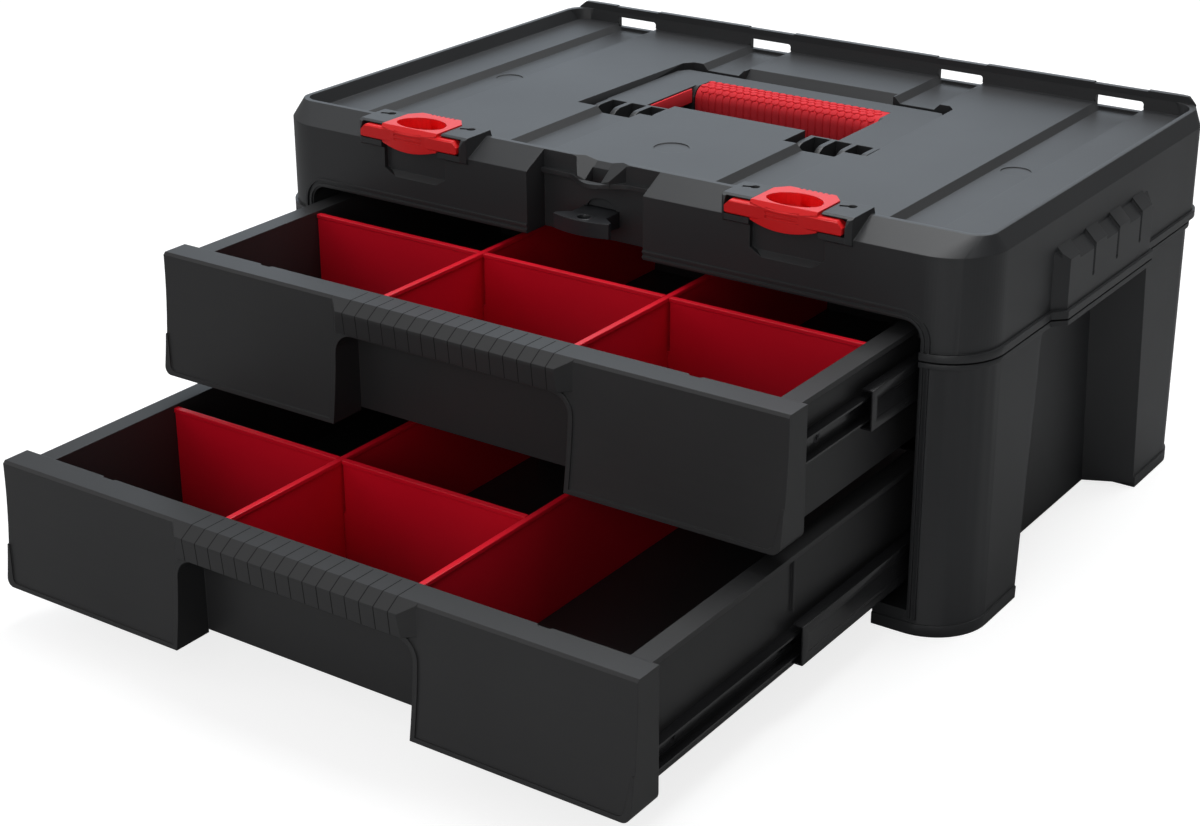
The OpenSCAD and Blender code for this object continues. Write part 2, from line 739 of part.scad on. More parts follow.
handle_top = pad_z - 3;
knuckle_y = -12;                // handle hinge axis
knuckle_z = handle_top - knuckle_r;
handle_end = knuckle_y + handle_l;
pocket_d = 34.5;                // depth of the handle's pocket
pocket_floor = pad_z - pocket_d;
pocket_front = knuckle_y - knuckle_r - 2;
pocket_rear = handle_end + 8;
pocket_half = handle_half + 4.5;
pocket_rear_half = handle_half + 1.5;
pocket_edge = 6;
slope_half = 55;                // half width of the slope behind the handle
slope_d = 7;
block_half = 47;                // half width of the lid's block between the knuckles
pad_end = 0;                    // where that block ends

module top_shell() color([0.19, 0.19, 0.2]) difference() {
    union() {
        difference() {
            lid_body();
            lid_cavity();
        }
        lid_inside();
        for (s = [LEFT, RIGHT]) latch_bracket(s * latch_x);
    }
    for (s = [LEFT, RIGHT]) latch_seat(s * latch_x);
    lock_recess();
    handle_pocket();
    at_bosses() translate([0, 0, lid_z - cut])
        cylinder(h = screw_seat + shell_screw_l - lid_z + 2 * cut, r = shell_screw_r + fit);
    bay();
}

sliver = 0.01;
rim_r = 12;                     // plan radius of the rim's front corners
pan_r = 10;
lip_t = 4;
mark_d = 0.5;                   // depth of the round moulding marks

// Outside of the lid with its rim, pads and channels
module lid_body() difference() {
    union() {
        // walls whose upper part leans in to the rim all the way round
        hull() {
            case_slab(0, lid_rear, lid_z, bevel_z);
            translate([0, 0, rim_z - sliver]) linear_extrude(sliver) case_outline(
                case_half - side_bevel, front_y + front_bevel, lid_rear, rim_r, rear_r - side_bevel);
        }
        intersection() {
            case_slab(0, lid_rear, lid_z, lip_z);
            rear_lip();
        }
        seam_bead(lid_rear, lid_z, lid_z + 4.4, bead_out);
        intersection() {
            opening_bead();
            translate([-case_half, front_y - 2 * cut, lid_z])
                cube([2 * case_half, 3 * cut, pad_rise]);
        }
        for (s = [LEFT, RIGHT]) hand_grip(s);
    }
    pan();
    for (s = [LEFT, RIGHT], x = [channel_in, channel_out]) {
        lid_channel(s * x);
        lip_slot(s * x);
    }
    for (s = [LEFT, RIGHT]) translate([s * channel_out, 8, channel_z - mark_d])
        cylinder(h = channel_d, r = 8.8);
    translate([0, front_y + 82.5, pad_z - mark_d]) cylinder(h = channel_d, r = 10.6);
}

module rear_lip() along_y(lid_rear - lip_t, lid_rear) polygon([
    [-case_half, lid_z], [-case_half, bevel_z], [-case_half + side_bevel, rim_z],
    [-case_half + side_bevel + 3, rim_z], [-case_half + side_bevel + 9, lip_z],
    [case_half - side_bevel - 9, lip_z], [case_half - side_bevel - 3, rim_z],
    [case_half - side_bevel, rim_z], [case_half, bevel_z], [case_half, lid_z]]);

// Sunken top inside the rim, with leaning walls
module pan() {
    half = case_half - side_bevel - rim_w;
    y0 = front_y + front_bevel + rim_w;
    y1 = lid_rear - lip_t;
    intersection() {
        along_y(y0 - cut, y1 + cut) polygon([
            [-half + 3, pad_z], [-half, rim_z], [-half, lip_z + cut],
            [half, lip_z + cut], [half, rim_z], [half - 3, pad_z]]);
        along_x(-half, half) polygon([
            [y0 + 3, pad_z], [y0, rim_z], [y0, lip_z + cut], [y1, lip_z + cut], [y1, rim_z],
            [y1 - 0.8, pad_z]]);
        translate([0, 0, pad_z - cut]) linear_extrude(rim_rise + lip_rise + 3 * cut)
            case_outline(half, y0, y1, pan_r, rear_r - 6);
    }
}

module lid_channel(x) along_y(front_y + front_bevel + rim_w + 3, lid_rear - lip_t)
    polygon([[x - channel_w / 2 + channel_d, channel_z], [x - channel_w / 2 - cut, pad_z + cut],
             [x + channel_w / 2 + cut, pad_z + cut], [x + channel_w / 2 - channel_d, channel_z]]);

// Slot through the rear lip at the end of a channel, and the lip's lower edge above it
module lip_slot(x) {
    along_y(lid_rear - lip_t - cut, lid_rear + cut) polygon(concat(
        [[x - channel_w / 2, pad_z - 2.1], [x - channel_w / 2, pad_z + 5]],
        arc([x + channel_w / 2 - 2, pad_z + 3], 2, 90, 0), [[x + channel_w / 2, pad_z - 2.1]]));
    box(x - channel_w / 2 - 2, x + channel_w / 2 + 2, lid_rear - lip_t - cut, lid_rear + cut,
        lip_z - 0.6, lip_z + cut);
}

// Profile of a side hand grip that ends at height z and leans back to the wall above it
module hand_profile(s, z) polygon([
    [s * (case_half - wall), lid_z], [s * (case_half + hand_out + cut), lid_z],
    [s * (case_half + hand_out + cut), z - cut],
    [s * (case_half - wall), z + hand_out + wall]]);

// A moulded hand grip on the lid's side: lobes between vertical grooves, each with a raised tab
module hand_grip(s) {
    grooves = [hand_mid - hand_pitch, hand_mid, hand_mid + hand_pitch];
    difference() {
        union() {
            intersection() {
                hand_slab(s, 0, lid_z, hand_top + 2 * hand_out);
                along_y(-hand_l, hand_l) hand_profile(s, hand_top - hand_step);
            }
            for (y = concat([-hand_l / 2], grooves)) intersection() {
                hand_slab(s, 0, lid_z, hand_top + 2 * hand_out);
                along_y(y, y + hand_tab) hand_profile(s, hand_top);
            }
        }
        for (y = grooves) translate([s * (case_half + hand_out), y, 0]) {
            translate([0, 0, hand_groove_z]) rotate([0, 0, 45]) translate([-1, -1, 0])
                cube([2, 2, hand_top - hand_groove_z]);
            translate([0, 0, hand_top - 1]) rotate([0, -45 * s, 0]) rotate([0, 0, 45])
                translate([-1, -1, 0]) cube([2, 2, 2 * hand_out]);
            translate([0, 0, hand_groove_z]) sphere(1.6);
        }
    }
}

// Space under the lid's top, inside its walls
module lid_cavity() {
    case_slab(-wall, lid_rear, lid_z - cut, ceiling_z);
    for (s = [LEFT, RIGHT]) intersection() {
        hand_slab(s, -2 * wall, lid_z - cut, hand_top - 2 * wall);
        translate([s > 0 ? case_half - 2 * wall : -case_half - hand_out + wall, -hand_l, 0])
            cube([hand_out + wall, 2 * hand_l, hand_top]);
    }
}

pillar_r = 7;

// What stands inside that space: bay walls, screw pillars, the pockets' walls and the tab's guide
module lid_inside() intersection() {
    case_slab(-wall / 2, lid_rear, lid_z, ceiling_z + cut);
    union() {
        for (s = [LEFT, RIGHT]) {
            x0 = s > 0 ? bay_half : -bay_half - wall;
            box(x0, x0 + wall, front_y, lid_rear, lid_z, ceiling_z + cut);
            x1 = s * latch_x;
            box(x1 - latch_w / 2 - 5, x1 + latch_w / 2 + 5, front_y + cut, front_y + 2 * latch_sink,
                latch_low - wall, ceiling_z + cut);
        }
        at_bosses() cylinder(h = ceiling_z + cut, r = pillar_r);
        lock_inside();
        translate([0, 0, pocket_floor - wall]) linear_extrude(ceiling_z + cut - pocket_floor + wall)
            pocket_outline(wall);
    }
}

// Walls of the padlock recess and the guide that the tab slides in, hung from the lid's top
module lock_inside() translate([lock_x, 0, 0]) {
    guide_half = neck_half + stop_w + play + guide_t;
    guide_top = lock_z + tab_t + play + guide_t;
    box(-lock_half - wall, lock_half + wall, front_y, lock_wall + wall, bay_top, ceiling_z + cut);
    box(-guide_half, guide_half, lock_wall + cut, lock_wall + guide_l, lock_z - play - guide_t, guide_top);
    box(-wall / 2, wall / 2, lock_wall + cut, lock_wall + guide_l, guide_top - cut, ceiling_z + cut);
}

// Front edge of the ledge over the tab: shallow at the sides, a tongue in the middle
function ledge_y(x) = lock_wall - tongue_reach - tongue_bulge * (1 + cos(180 * x / bulge_half)) / 2;

// Cuts for the padlock recess, for the trough and slot over it, and for the tab
module lock_recess() translate([lock_x, 0, 0]) {
    top = rim_z + 2 * cut;
    difference() {
        box(-lock_half, lock_half, front_y - 3 * cut, lock_wall, seam_z, top);
        // the ledge and the saddle on it are left standing
        translate([0, 0, tongue_z - tongue_t]) linear_extrude(tongue_t) polygon(concat(
            [[-lock_half - cut, lock_wall + cut], [-lock_half - cut, lock_wall - tongue_reach]],
            [for (i = [-12:12]) let (x = bulge_half * i / 12) [x, ledge_y(x)]],
            [[lock_half + cut, lock_wall - tongue_reach], [lock_half + cut, lock_wall + cut]]));
        translate([0, 0, tongue_z - tongue_t / 2]) linear_extrude(top) polygon([
            [-saddle_rear, lock_wall + cut], [-saddle_front, lock_wall - saddle_d],
            [saddle_front, lock_wall - saddle_d], [saddle_rear, lock_wall + cut]]);
    }
    intersection() {
        translate([0, lock_wall + rim_w, trough_z]) rotate([90 + trough_slope, 0, 0])
            translate([0, 0, -2 * rim_w]) linear_extrude(front_bevel + 4 * rim_w)
                polygon([[-5, 0], [5, 0], [25, 5], [25, 20], [-25, 20], [-25, 5]]);
        box(-lock_half, lock_half, front_y - 3 * cut, lock_wall + 3 * rim_w, tongue_z, top);
    }
    box(-slot_half, slot_half, lock_wall - saddle_d, lock_wall - play, tongue_z - tongue_t - cut, top);
    // the tab's slot and, behind the wall, its wider guide
    box(-neck_half - play, neck_half + play, lock_wall - cut, lock_wall + guide_l + cut,
        lock_z - play, lock_z + tab_t + play);
    box(-neck_half - stop_w - play, neck_half + stop_w + play, lock_wall + wall,
        lock_wall + guide_l + cut, lock_z - play, lock_z + tab_t + play);
    along_y(lock_wall - cut, lock_wall + relief_d) translate([0, lock_z + tab_t]) polygon(
        [for (i = [0:12]) [relief_r * cos(15 * i), relief_h * sin(15 * i)]]);
}

// Ears that hold a latch's journals
module latch_bracket(x) translate([x, 0, 0]) intersection() {
    for (s = [LEFT, RIGHT]) {
        x0 = s > 0 ? latch_w / 2 + latch_gap : -bracket_half;
        along_x(x0, x0 + bracket_half - latch_w / 2 - latch_gap) polygon([
            [bracket_front, hinge_z - 8], [bracket_front, bracket_z - 5],
            [bracket_front + 2, bracket_z - 1], [bracket_front + 5, bracket_z],
            [front_y + 22, bracket_z], [front_y + 26, pad_z - cut], [front_y + 1, pad_z - 2 * cut],
            [front_y + 1, hinge_z - 10.5]]);
    }
    translate([0, 0, latch_low]) linear_extrude(2 * pad_rise) polygon([
        [-bracket_half, lid_rear], [-bracket_half, bracket_front + bracket_edge],
        [-bracket_half + bracket_edge, bracket_front], [bracket_half - bracket_edge, bracket_front],
        [bracket_half, bracket_front + bracket_edge], [bracket_half, lid_rear]]);
}

// Cuts for a latch: its body, the swing of its lip, its journals, the keyholes and the pocket below
module latch_seat(x) translate([x, 0, 0]) {
    half = latch_w / 2 + latch_gap;
    sink_half = half + 1.6;
    box(-half, half, front_y - 3 * cut, front_y + latch_d - 3, pad_z, bracket_z + cut);
    translate([-half, hinge_y, hinge_z]) rotate([0, 90, 0]) cylinder(h = 2 * half, r = swing_r);
    translate([-latch_span / 2 - 1, hinge_y, hinge_z]) rotate([0, 90, 0])
        cylinder(h = latch_span + 2, r = journal_r + journal_gap);
    for (s = [LEFT, RIGHT]) translate([s * key_x, key_y, bracket_z - 2.5]) {
        cylinder(h = 4, r = 2.6);
        rotate([0, 0, 200]) translate([0, -1.2, 0]) cube([7, 2.4, 4]);
    }
    intersection() {
        along_y(front_y - 3 * cut, front_y + latch_sink) polygon([
            [-sink_half, pad_z], [sink_half, pad_z], [sink_half, latch_low + 4.5],
            [sink_half - 7.4, latch_low], [-sink_half + 7.4, latch_low], [-sink_half, latch_low + 4.5]]);
        along_x(-sink_half, sink_half) polygon([
            [front_y - 3 * cut, pad_z], [front_y - 3 * cut, latch_low], [front_y, latch_low],
            [front_y + latch_sink, latch_low + latch_sink], [front_y + latch_sink, pad_z]]);
    }
}

// Plan of the handle's pocket, grown by g
module pocket_outline(g) difference() {
    polygon([
        [-pocket_half - g, pocket_front - g], [pocket_half + g, pocket_front - g],
        [pocket_rear_half + g, pocket_rear - pocket_edge],
        [pocket_rear_half - pocket_edge + 1 + g, pocket_rear + g],
        [-pocket_rear_half + pocket_edge - 1 - g, pocket_rear + g],
        [-pocket_rear_half - g, pocket_rear - pocket_edge]]);
    translate([-block_half + g, pocket_front - g - cut])
        square([2 * (block_half - g), pad_end - pocket_front + cut]);
}

module handle_pocket() {
    translate([0, 0, pocket_floor]) linear_extrude(rim_z - pocket_floor) pocket_outline(0);
    // sloped edge behind the handle
    along_x(-slope_half, slope_half) polygon([
        [pocket_rear - cut, pad_z - slope_d - cut], [pocket_rear + slope_d + cut, pad_z + cut],
        [pocket_rear - cut, pad_z + cut]]);
    translate([0, knuckle_y, knuckle_z]) rotate([0, 90, 0])
        cylinder(h = 2 * (pocket_half + 2 * wall), r = pin_r + fit, center = true);
}

// ---------------------------------------------------------------- latches

lip_out = 4;                    // front of a latch, in front of its hinge axis
lip_curve = 1.8;                // its front bulges this much
lip_low = 8.2;                  // its lower lip hangs this far below the axis in the middle
lip_lift = 3.2;                 // and this much less at the sides
latch_top = rim_z + 3.5;
latch_deep = 7;                 // depth of the finger recess
recess_x = 16.5;                // half axes of the finger recess, and its middle
recess_back = 12.5;
recess_fore = 9.5;
recess_mid = 9.5;
journal_flat_y = 3.3;
journal_flat_z = 4;
journal_edge = 2;
tooth_pitch = 3.4;
tooth_w = 1.6;
rib_pitch = 2.6;

// Front of a latch at distance x from its middle
function latch_front(x) = -lip_out + lip_curve * pow(2 * x / latch_w, 2);

module latch(x) color([0.85, 0.09, 0.12]) translate([x, hinge_y, 0]) difference() {
    half = latch_w / 2;
    back = latch_d - lip_out;
    union() {
        intersection() {
            along_x(-half, half) polygon([
                [-lip_out, hinge_z - lip_low], [-lip_out, latch_top - 3.5], [-lip_out + 3, latch_top],
                [back, latch_top], [back, pad_z + 3], [back - 2, pad_z + latch_gap],
                [6, pad_z + latch_gap], [2, hinge_z - 7.5], [-lip_out + 2, hinge_z - lip_low]]);
            translate([0, 0, hinge_z - swing_r]) linear_extrude(3 * swing_r) polygon(concat(
                [for (i = [-8:8]) let (x = half * i / 8) [x, latch_front(x)]],
                [[half, back - 7], [half - 6, back], [-half + 6, back], [-half, back - 7]]));
        }
        intersection() {
            translate([-latch_span / 2, 0, hinge_z]) rotate([0, 90, 0])
                cylinder(h = latch_span, r = journal_r);
            box(-latch_span / 2, latch_span / 2, -journal_flat_y, journal_r, hinge_z - journal_flat_z,
                hinge_z + journal_flat_z);
            along_y(-journal_r, journal_r) polygon([
                [-latch_span / 2, hinge_z - journal_r + journal_edge],
                [-latch_span / 2 + journal_edge, hinge_z - journal_r],
                [latch_span / 2 - journal_edge, hinge_z - journal_r],
                [latch_span / 2, hinge_z - journal_r + journal_edge],
                [latch_span / 2, hinge_z + journal_r - 2 * journal_edge],
                [latch_span / 2 - 2 * journal_edge, hinge_z + journal_r],
                [-latch_span / 2 + 2 * journal_edge, hinge_z + journal_r],
                [-latch_span / 2, hinge_z + journal_r - 2 * journal_edge]]);
        }
    }
    // finger recess in the top
    translate([0, recess_mid, latch_top - latch_deep]) linear_extrude(latch_deep + cut) polygon(
        [for (i = [0:35]) [recess_x * cos(10 * i), (i < 18 ? recess_back : recess_fore) * sin(10 * i)]]);
    // grip grooves across the front, and teeth along the rear edge
    for (k = [0:2]) translate([0, 0, hinge_z - 2 + rib_pitch * k]) linear_extrude(rib_pitch / 2)
        polygon(concat([for (i = [-4:4]) let (x = half * i / 8) [x, latch_front(x) + 0.6]],
                       [[half / 2, -lip_out - cut], [-half / 2, -lip_out - cut]]));
    for (i = [-2:3]) box(i * tooth_pitch - tooth_w / 2, i * tooth_pitch + tooth_w / 2, back - 1.2,
                         back + cut, latch_top - 1.6, latch_top + cut);
    // the lower lip curves up towards both sides
    along_y(-lip_out - cut, 6 - cut) polygon(concat(
        [for (i = [-8:8]) [half * i / 8, hinge_z - lip_low + lip_lift * pow(i / 8, 2)]],
        [[half, hinge_z - 2 * lip_low], [-half, hinge_z - 2 * lip_low]]));
}

// ---------------------------------------------------------------- carry handle

grip_yc = handle_end - grip_y - 0.5;        // centre of the grip's section
grip_zc = handle_top - grip_z + 0.5;
grip_r = 9;                     // corner radius of that section
bar_d = 16.5;                   // width of the plate behind the opening
window_y0 = pad_end + 2;
window_y1 = handle_end - bar_d;
plate_front = knuckle_y + knuckle_r;
fin_t = 3.6;
fin_n = 4;
fin_in = block_half + 3;
lug_w = 8;
collar_t = 2.5;
lining_t = 1.5;

// Section of the hand grip in Y and Z, shrunk by g
module grip_section(g) translate([grip_yc, grip_zc]) polygon(concat(
    arc([grip_y - grip_r, grip_z - grip_r], grip_r - g, 0, 90),
    arc([grip_r - grip_y, grip_z - grip_r], grip_r - g, 90, 180),
    arc([grip_r - grip_y, grip_r - grip_z], grip_r - g, 180, 270),
    arc([grip_y - grip_r, grip_r - grip_z], grip_r - g, 270, 360)));

// Flat plate of the handle with its opening
module handle_plate() difference() {
    translate([0, 0, handle_top - handle_t]) linear_extrude(handle_t) difference() {
        polygon([
            [-handle_half, plate_front], [handle_half, plate_front], [handle_half, handle_end - 7],
            [handle_half - 5, handle_end], [-handle_half + 5, handle_end],
            [-handle_half, handle_end - 7]]);
        polygon(concat(
            [[-window_half, window_y0], [window_half, window_y0]],
            arc([window_half - collar_t, window_y1 - collar_t], collar_t, 0, 90),
            arc([collar_t - window_half, window_y1 - collar_t], collar_t, 90, 180)));
        // the lid's block reaches in between the fins
        translate([-fin_in, plate_front - cut]) square([2 * fin_in, pad_end + 4 - plate_front]);
    }
}

module handle_frame() color([0.19, 0.19, 0.2]) difference() {
    union() {
        handle_plate();
        // core of the grip and the lugs that join it to the arms
        along_x(-window_half - cut, window_half + cut) grip_section(grip_t);
        for (s = [LEFT, RIGHT]) {
            x0 = s > 0 ? window_half - collar_t : -window_half - lug_w;
            intersection() {
                along_x(x0, x0 + lug_w + collar_t) grip_section(0);
                box(-handle_half, handle_half, 0, handle_end, 0, handle_top);
            }
            for (i = [0:fin_n - 1]) {
                x1 = fin_in + i * (handle_half - 1 - fin_in - fin_t) / (fin_n - 1);
                translate([s > 0 ? x1 : -x1 - fin_t, 0, 0]) {
                    translate([0, knuckle_y, knuckle_z]) rotate([0, 90, 0])
                        cylinder(h = fin_t, r = knuckle_r);
                    box(0, fin_t, knuckle_y, plate_front + cut, knuckle_z, handle_top);
                }
            }
        }
    }
    translate([0, knuckle_y, knuckle_z]) rotate([0, 90, 0])
        cylinder(h = 3 * handle_half, r = pin_r + fit, center = true);
}

module handle_grip() color([0.85, 0.09, 0.12]) {
    sleeve = window_half - collar_t;
    difference() {
        along_x(-sleeve, sleeve) grip_section(0);
        along_x(-sleeve - cut, sleeve + cut) grip_section(grip_t - fit);
        box(-window_half, window_half, window_y1, handle_end + cut, handle_top - handle_t,
            handle_top + handle_t);
    }
    // soft linings on the arms beside the opening
    for (s = [LEFT, RIGHT]) {
        x0 = s > 0 ? window_half - lining_t : -window_half;
        box(x0, x0 + lining_t, pad_end + 5, grip_yc - grip_y - 0.5, handle_top - handle_t,
            handle_top - 0.8);
    }
}

module handle_pins() color([0.3, 0.3, 0.32]) for (s = [LEFT, RIGHT]) {
    x0 = block_half - wall + 1;
    x1 = pocket_half + wall;
    translate([s * (x0 + x1) / 2, knuckle_y, knuckle_z]) rotate([0, 90, 0])
        cylinder(h = x1 - x0, r = pin_r, center = true);
}

// ---------------------------------------------------------------- padlock tab

tab_sagitta = 3.5;              // bow of the tab's front
head_side = 2.5;                // straight ends of the tab's head
head_l = 8;                     // length of the head, which the shank carries
hole_y = 3.2;
ring_w = 1.5;                   // raised ring round the hole
ring_up = 0.3;

module lock_tab() color([0.12, 0.12, 0.13]) translate([lock_x, lock_wall - tab_out, lock_z]) difference() {
    tail = tab_out + tab_in;
    union() {
        linear_extrude(tab_t) polygon(concat(
            [for (i = [-8:8]) [tab_half * i / 8, -tab_sagitta * (1 - pow(i / 8, 2))]],
            [[tab_half, head_side], [neck_half, head_l], [neck_half, tail], [-neck_half, tail],
             [-neck_half, head_l], [-tab_half, head_side]]));
        translate([-neck_half - stop_w, tab_out + wall + play, 0])
            cube([2 * (neck_half + stop_w), stop_l, tab_t]);
        translate([0, hole_y, 0]) cylinder(h = tab_t + ring_up, r = lock_r + ring_w);
    }
    translate([0, hole_y, -cut]) cylinder(h = tab_t + 3 * cut, r = lock_r);
}

// ---------------------------------------------------------------- output

lower_shell();
top_shell();
shell_screws();
latch(-latch_x);  // latch_left
latch(latch_x);  // latch_right
handle_frame();
handle_grip();
handle_pins();
lock_tab();
drawer(UPPER);  // upper_drawer
upper_divider_long();
upper_divider_left();
upper_divider_right();
drawer(LOWER);  // lower_drawer
lower_divider_long();
lower_divider_left();
lower_divider_right();
slide_screws_case();
slide_screws_drawer(UPPER);  // slide_screws_upper
slide_screws_drawer(LOWER);  // slide_screws_lower
slide_outer(UPPER, LEFT);  // upper_left_slide_outer
slide_middle(UPPER, LEFT);  // upper_left_slide_middle
slide_inner(UPPER, LEFT);  // upper_left_slide_inner
cage_outer(UPPER, LEFT);  // upper_left_cage_outer
cage_inner(UPPER, LEFT);  // upper_left_cage_inner
balls_outer(UPPER, LEFT);  // upper_left_balls_outer
balls_inner(UPPER, LEFT);  // upper_left_balls_inner
slide_outer(UPPER, RIGHT);  // upper_right_slide_outer
slide_middle(UPPER, RIGHT);  // upper_right_slide_middle
slide_inner(UPPER, RIGHT);  // upper_right_slide_inner
cage_outer(UPPER, RIGHT);  // upper_right_cage_outer
cage_inner(UPPER, RIGHT);  // upper_right_cage_inner
balls_outer(UPPER, RIGHT);  // upper_right_balls_outer
balls_inner(UPPER, RIGHT);  // upper_right_balls_inner
slide_outer(LOWER, LEFT);  // lower_left_slide_outer
slide_middle(LOWER, LEFT);  // lower_left_slide_middle
slide_inner(LOWER, LEFT);  // lower_left_slide_inner
cage_outer(LOWER, LEFT);  // lower_left_cage_outer
cage_inner(LOWER, LEFT);  // lower_left_cage_inner
balls_outer(LOWER, LEFT);  // lower_left_balls_outer
balls_inner(LOWER, LEFT);  // lower_left_balls_inner
slide_outer(LOWER, RIGHT);  // lower_right_slide_outer
slide_middle(LOWER, RIGHT);  // lower_right_slide_middle
slide_inner(LOWER, RIGHT);  // lower_right_slide_inner
cage_outer(LOWER, RIGHT);  // lower_right_cage_outer
cage_inner(LOWER, RIGHT);  // lower_right_cage_inner
balls_outer(LOWER, RIGHT);  // lower_right_balls_outer
balls_inner(LOWER, RIGHT);  // lower_right_balls_inner
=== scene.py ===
"""Looks of a portable tool box with two drawers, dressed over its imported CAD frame.

Places are in the frame of the CAD model: X to the right, Y to the back, Z up. A class that shapes
or rounds a piece holds its sizes in millimetres. The studio's sizes are in metres.
"""

import json
import logging
import math
from collections.abc import Callable
from dataclasses import dataclass
from enum import StrEnum
from itertools import product

import bpy
from mathutils import Matrix, Vector

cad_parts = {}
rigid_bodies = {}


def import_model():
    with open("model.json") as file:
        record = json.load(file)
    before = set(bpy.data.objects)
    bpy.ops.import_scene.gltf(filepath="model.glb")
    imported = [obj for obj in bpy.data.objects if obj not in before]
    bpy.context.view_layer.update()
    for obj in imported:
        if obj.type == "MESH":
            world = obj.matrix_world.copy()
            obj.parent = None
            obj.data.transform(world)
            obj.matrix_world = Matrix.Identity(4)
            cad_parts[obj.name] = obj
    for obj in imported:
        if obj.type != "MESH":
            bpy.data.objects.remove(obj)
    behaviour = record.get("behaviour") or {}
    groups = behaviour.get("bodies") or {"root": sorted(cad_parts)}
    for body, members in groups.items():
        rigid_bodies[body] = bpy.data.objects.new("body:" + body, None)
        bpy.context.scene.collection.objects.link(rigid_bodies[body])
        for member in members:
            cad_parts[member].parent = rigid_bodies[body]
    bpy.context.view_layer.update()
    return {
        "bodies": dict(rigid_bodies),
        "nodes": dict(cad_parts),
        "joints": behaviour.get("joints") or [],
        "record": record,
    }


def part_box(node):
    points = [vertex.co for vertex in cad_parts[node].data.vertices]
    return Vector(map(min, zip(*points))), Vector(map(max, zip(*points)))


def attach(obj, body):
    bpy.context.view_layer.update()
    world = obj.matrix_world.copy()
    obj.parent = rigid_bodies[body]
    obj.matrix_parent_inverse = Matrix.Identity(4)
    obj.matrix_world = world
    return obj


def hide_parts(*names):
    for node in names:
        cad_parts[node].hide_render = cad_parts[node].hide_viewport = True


log = logging.getLogger("tool_box")

MM = 0.001
NEAR = 0.1 * MM
WHITE = (1.0, 1.0, 1.0, 1.0)

Point = tuple[float, float, float]
Colour = tuple[float, float, float]
Value = bpy.types.NodeSocket | float | tuple[float, ...]


class Level(StrEnum):
    """The two drawers' levels, as in the names of their CAD nodes."""

    UPPER = "upper"
    LOWER = "lower"


class Side(StrEnum):
    """The two sides of the box, as in the names of their CAD nodes."""

    LEFT = "left"
    RIGHT = "right"

    def outward(self) -> float:
        """Returns the direction along X that the side faces."""
        return -1.0 if self is Side.LEFT else 1.0


# ------------------------------------------------------------------ shader nodes


def feed(tree: bpy.types.NodeTree, node: bpy.types.Node, values: dict[str | int, Value]) -> None:
    """Links a node's inputs to sockets, or sets them to plain values.

    Args:
        tree: Node tree that holds the node.
        node: The node.
        values: What each input gets, under the input's name or number.
    """
    for key, value in values.items():
        if isinstance(value, bpy.types.NodeSocket):
            tree.links.new(value, node.inputs[key])
        else:
            node.inputs[key].default_value = value


def object_place(tree: bpy.types.NodeTree) -> bpy.types.NodeSocket:
    """Adds a node that gives a point's place on the piece, and returns its socket."""
    return tree.nodes.new("ShaderNodeTexCoord").outputs["Object"]


def add_math(tree: bpy.types.NodeTree, operation: str, *values: Value) -> bpy.types.NodeSocket:
    """Adds a maths node.

    Args:
        tree: Node tree that gets it.
        operation: Blender's name of the operation, such as MULTIPLY.
        values: What its inputs get, in order.

    Returns:
        The result's socket.
    """
    node = tree.nodes.new("ShaderNodeMath")
    node.operation = operation
    feed(tree, node, dict(enumerate(values)))
    return node.outputs[0]


def add_noise(
    tree: bpy.types.NodeTree,
    place: bpy.types.NodeSocket,
    scale: Value,
    detail: float = 2.0,
    roughness: float = 0.5,
) -> bpy.types.NodeSocket:
    """Adds a noise node.

    Args:
        tree: Node tree that gets it.
        place: Where in the noise a point of the piece lies.
        scale: How often the noise repeats in a metre.
        detail: How many finer noises lie over the first.
        roughness: How strong the finer ones are.

    Returns:
        The socket of the noise, from 0 to 1.
    """
    node = tree.nodes.new("ShaderNodeTexNoise")
    feed(tree, node, {"Vector": place, "Scale": scale, "Detail": detail, "Roughness": roughness})
    return node.outputs["Fac"]


def add_range(
    tree: bpy.types.NodeTree,
    value: bpy.types.NodeSocket,
    start: tuple[float, float],
    end: tuple[Value, Value],
    curve: str = "LINEAR",
) -> bpy.types.NodeSocket:
    """Adds a node that turns one range of a value into another one.

    Args:
        tree: Node tree that gets it.
        value: The value.
        start: Lowest and highest value of its own range.
        end: What these two become.
        curve: Blender's name of the way from the one to the other.

    Returns:
        The result's socket.
    """
    node = tree.nodes.new("ShaderNodeMapRange")
    node.interpolation_type = curve
    feed(tree, node, {"Value": value, "From Min": start[0], "From Max": start[1]})
    feed(tree, node, {"To Min": end[0], "To Max": end[1]})
    return node.outputs["Result"]


def add_mix(
    tree: bpy.types.NodeTree, share: Value, first: Value, second: Value
) -> bpy.types.NodeSocket:
    """Adds a node that mixes two colours.

    Args:
        tree: Node tree that gets it.
        share: Share of the second colour, from 0 to 1.
        first: The first colour.
        second: The second colour.

    Returns:
        The mixed colour's socket.
    """
    node = tree.nodes.new("ShaderNodeMix")
    node.data_type = "RGBA"
    feed(tree, node, {"Factor": share, "A": first, "B": second})
    return node.outputs["Result"]


def add_relief(
    tree: bpy.types.NodeTree,
    height: bpy.types.NodeSocket,
    normal: bpy.types.NodeSocket,
    depth: float,
    strength: float = 1.0,
    inward: bool = False,
) -> bpy.types.NodeSocket:
    """Adds fine relief to a surface.

    Args:
        tree: Node tree that gets it.
        height: The relief's height, from 0 to 1.
        normal: Normal of the surface under it.
        depth: Full height of the relief in millimetres.
        strength: Share of it that shows.
        inward: Whether it goes into the surface.

    Returns:
        The socket of the new normal.
    """
    node = tree.nodes.new("ShaderNodeBump")
    node.invert = inward
    feed(tree, node, {"Strength": strength, "Distance": depth * MM})
    feed(tree, node, {"Height": height, "Normal": normal})
    return node.outputs["Normal"]


# ------------------------------------------------------------------ shader groups

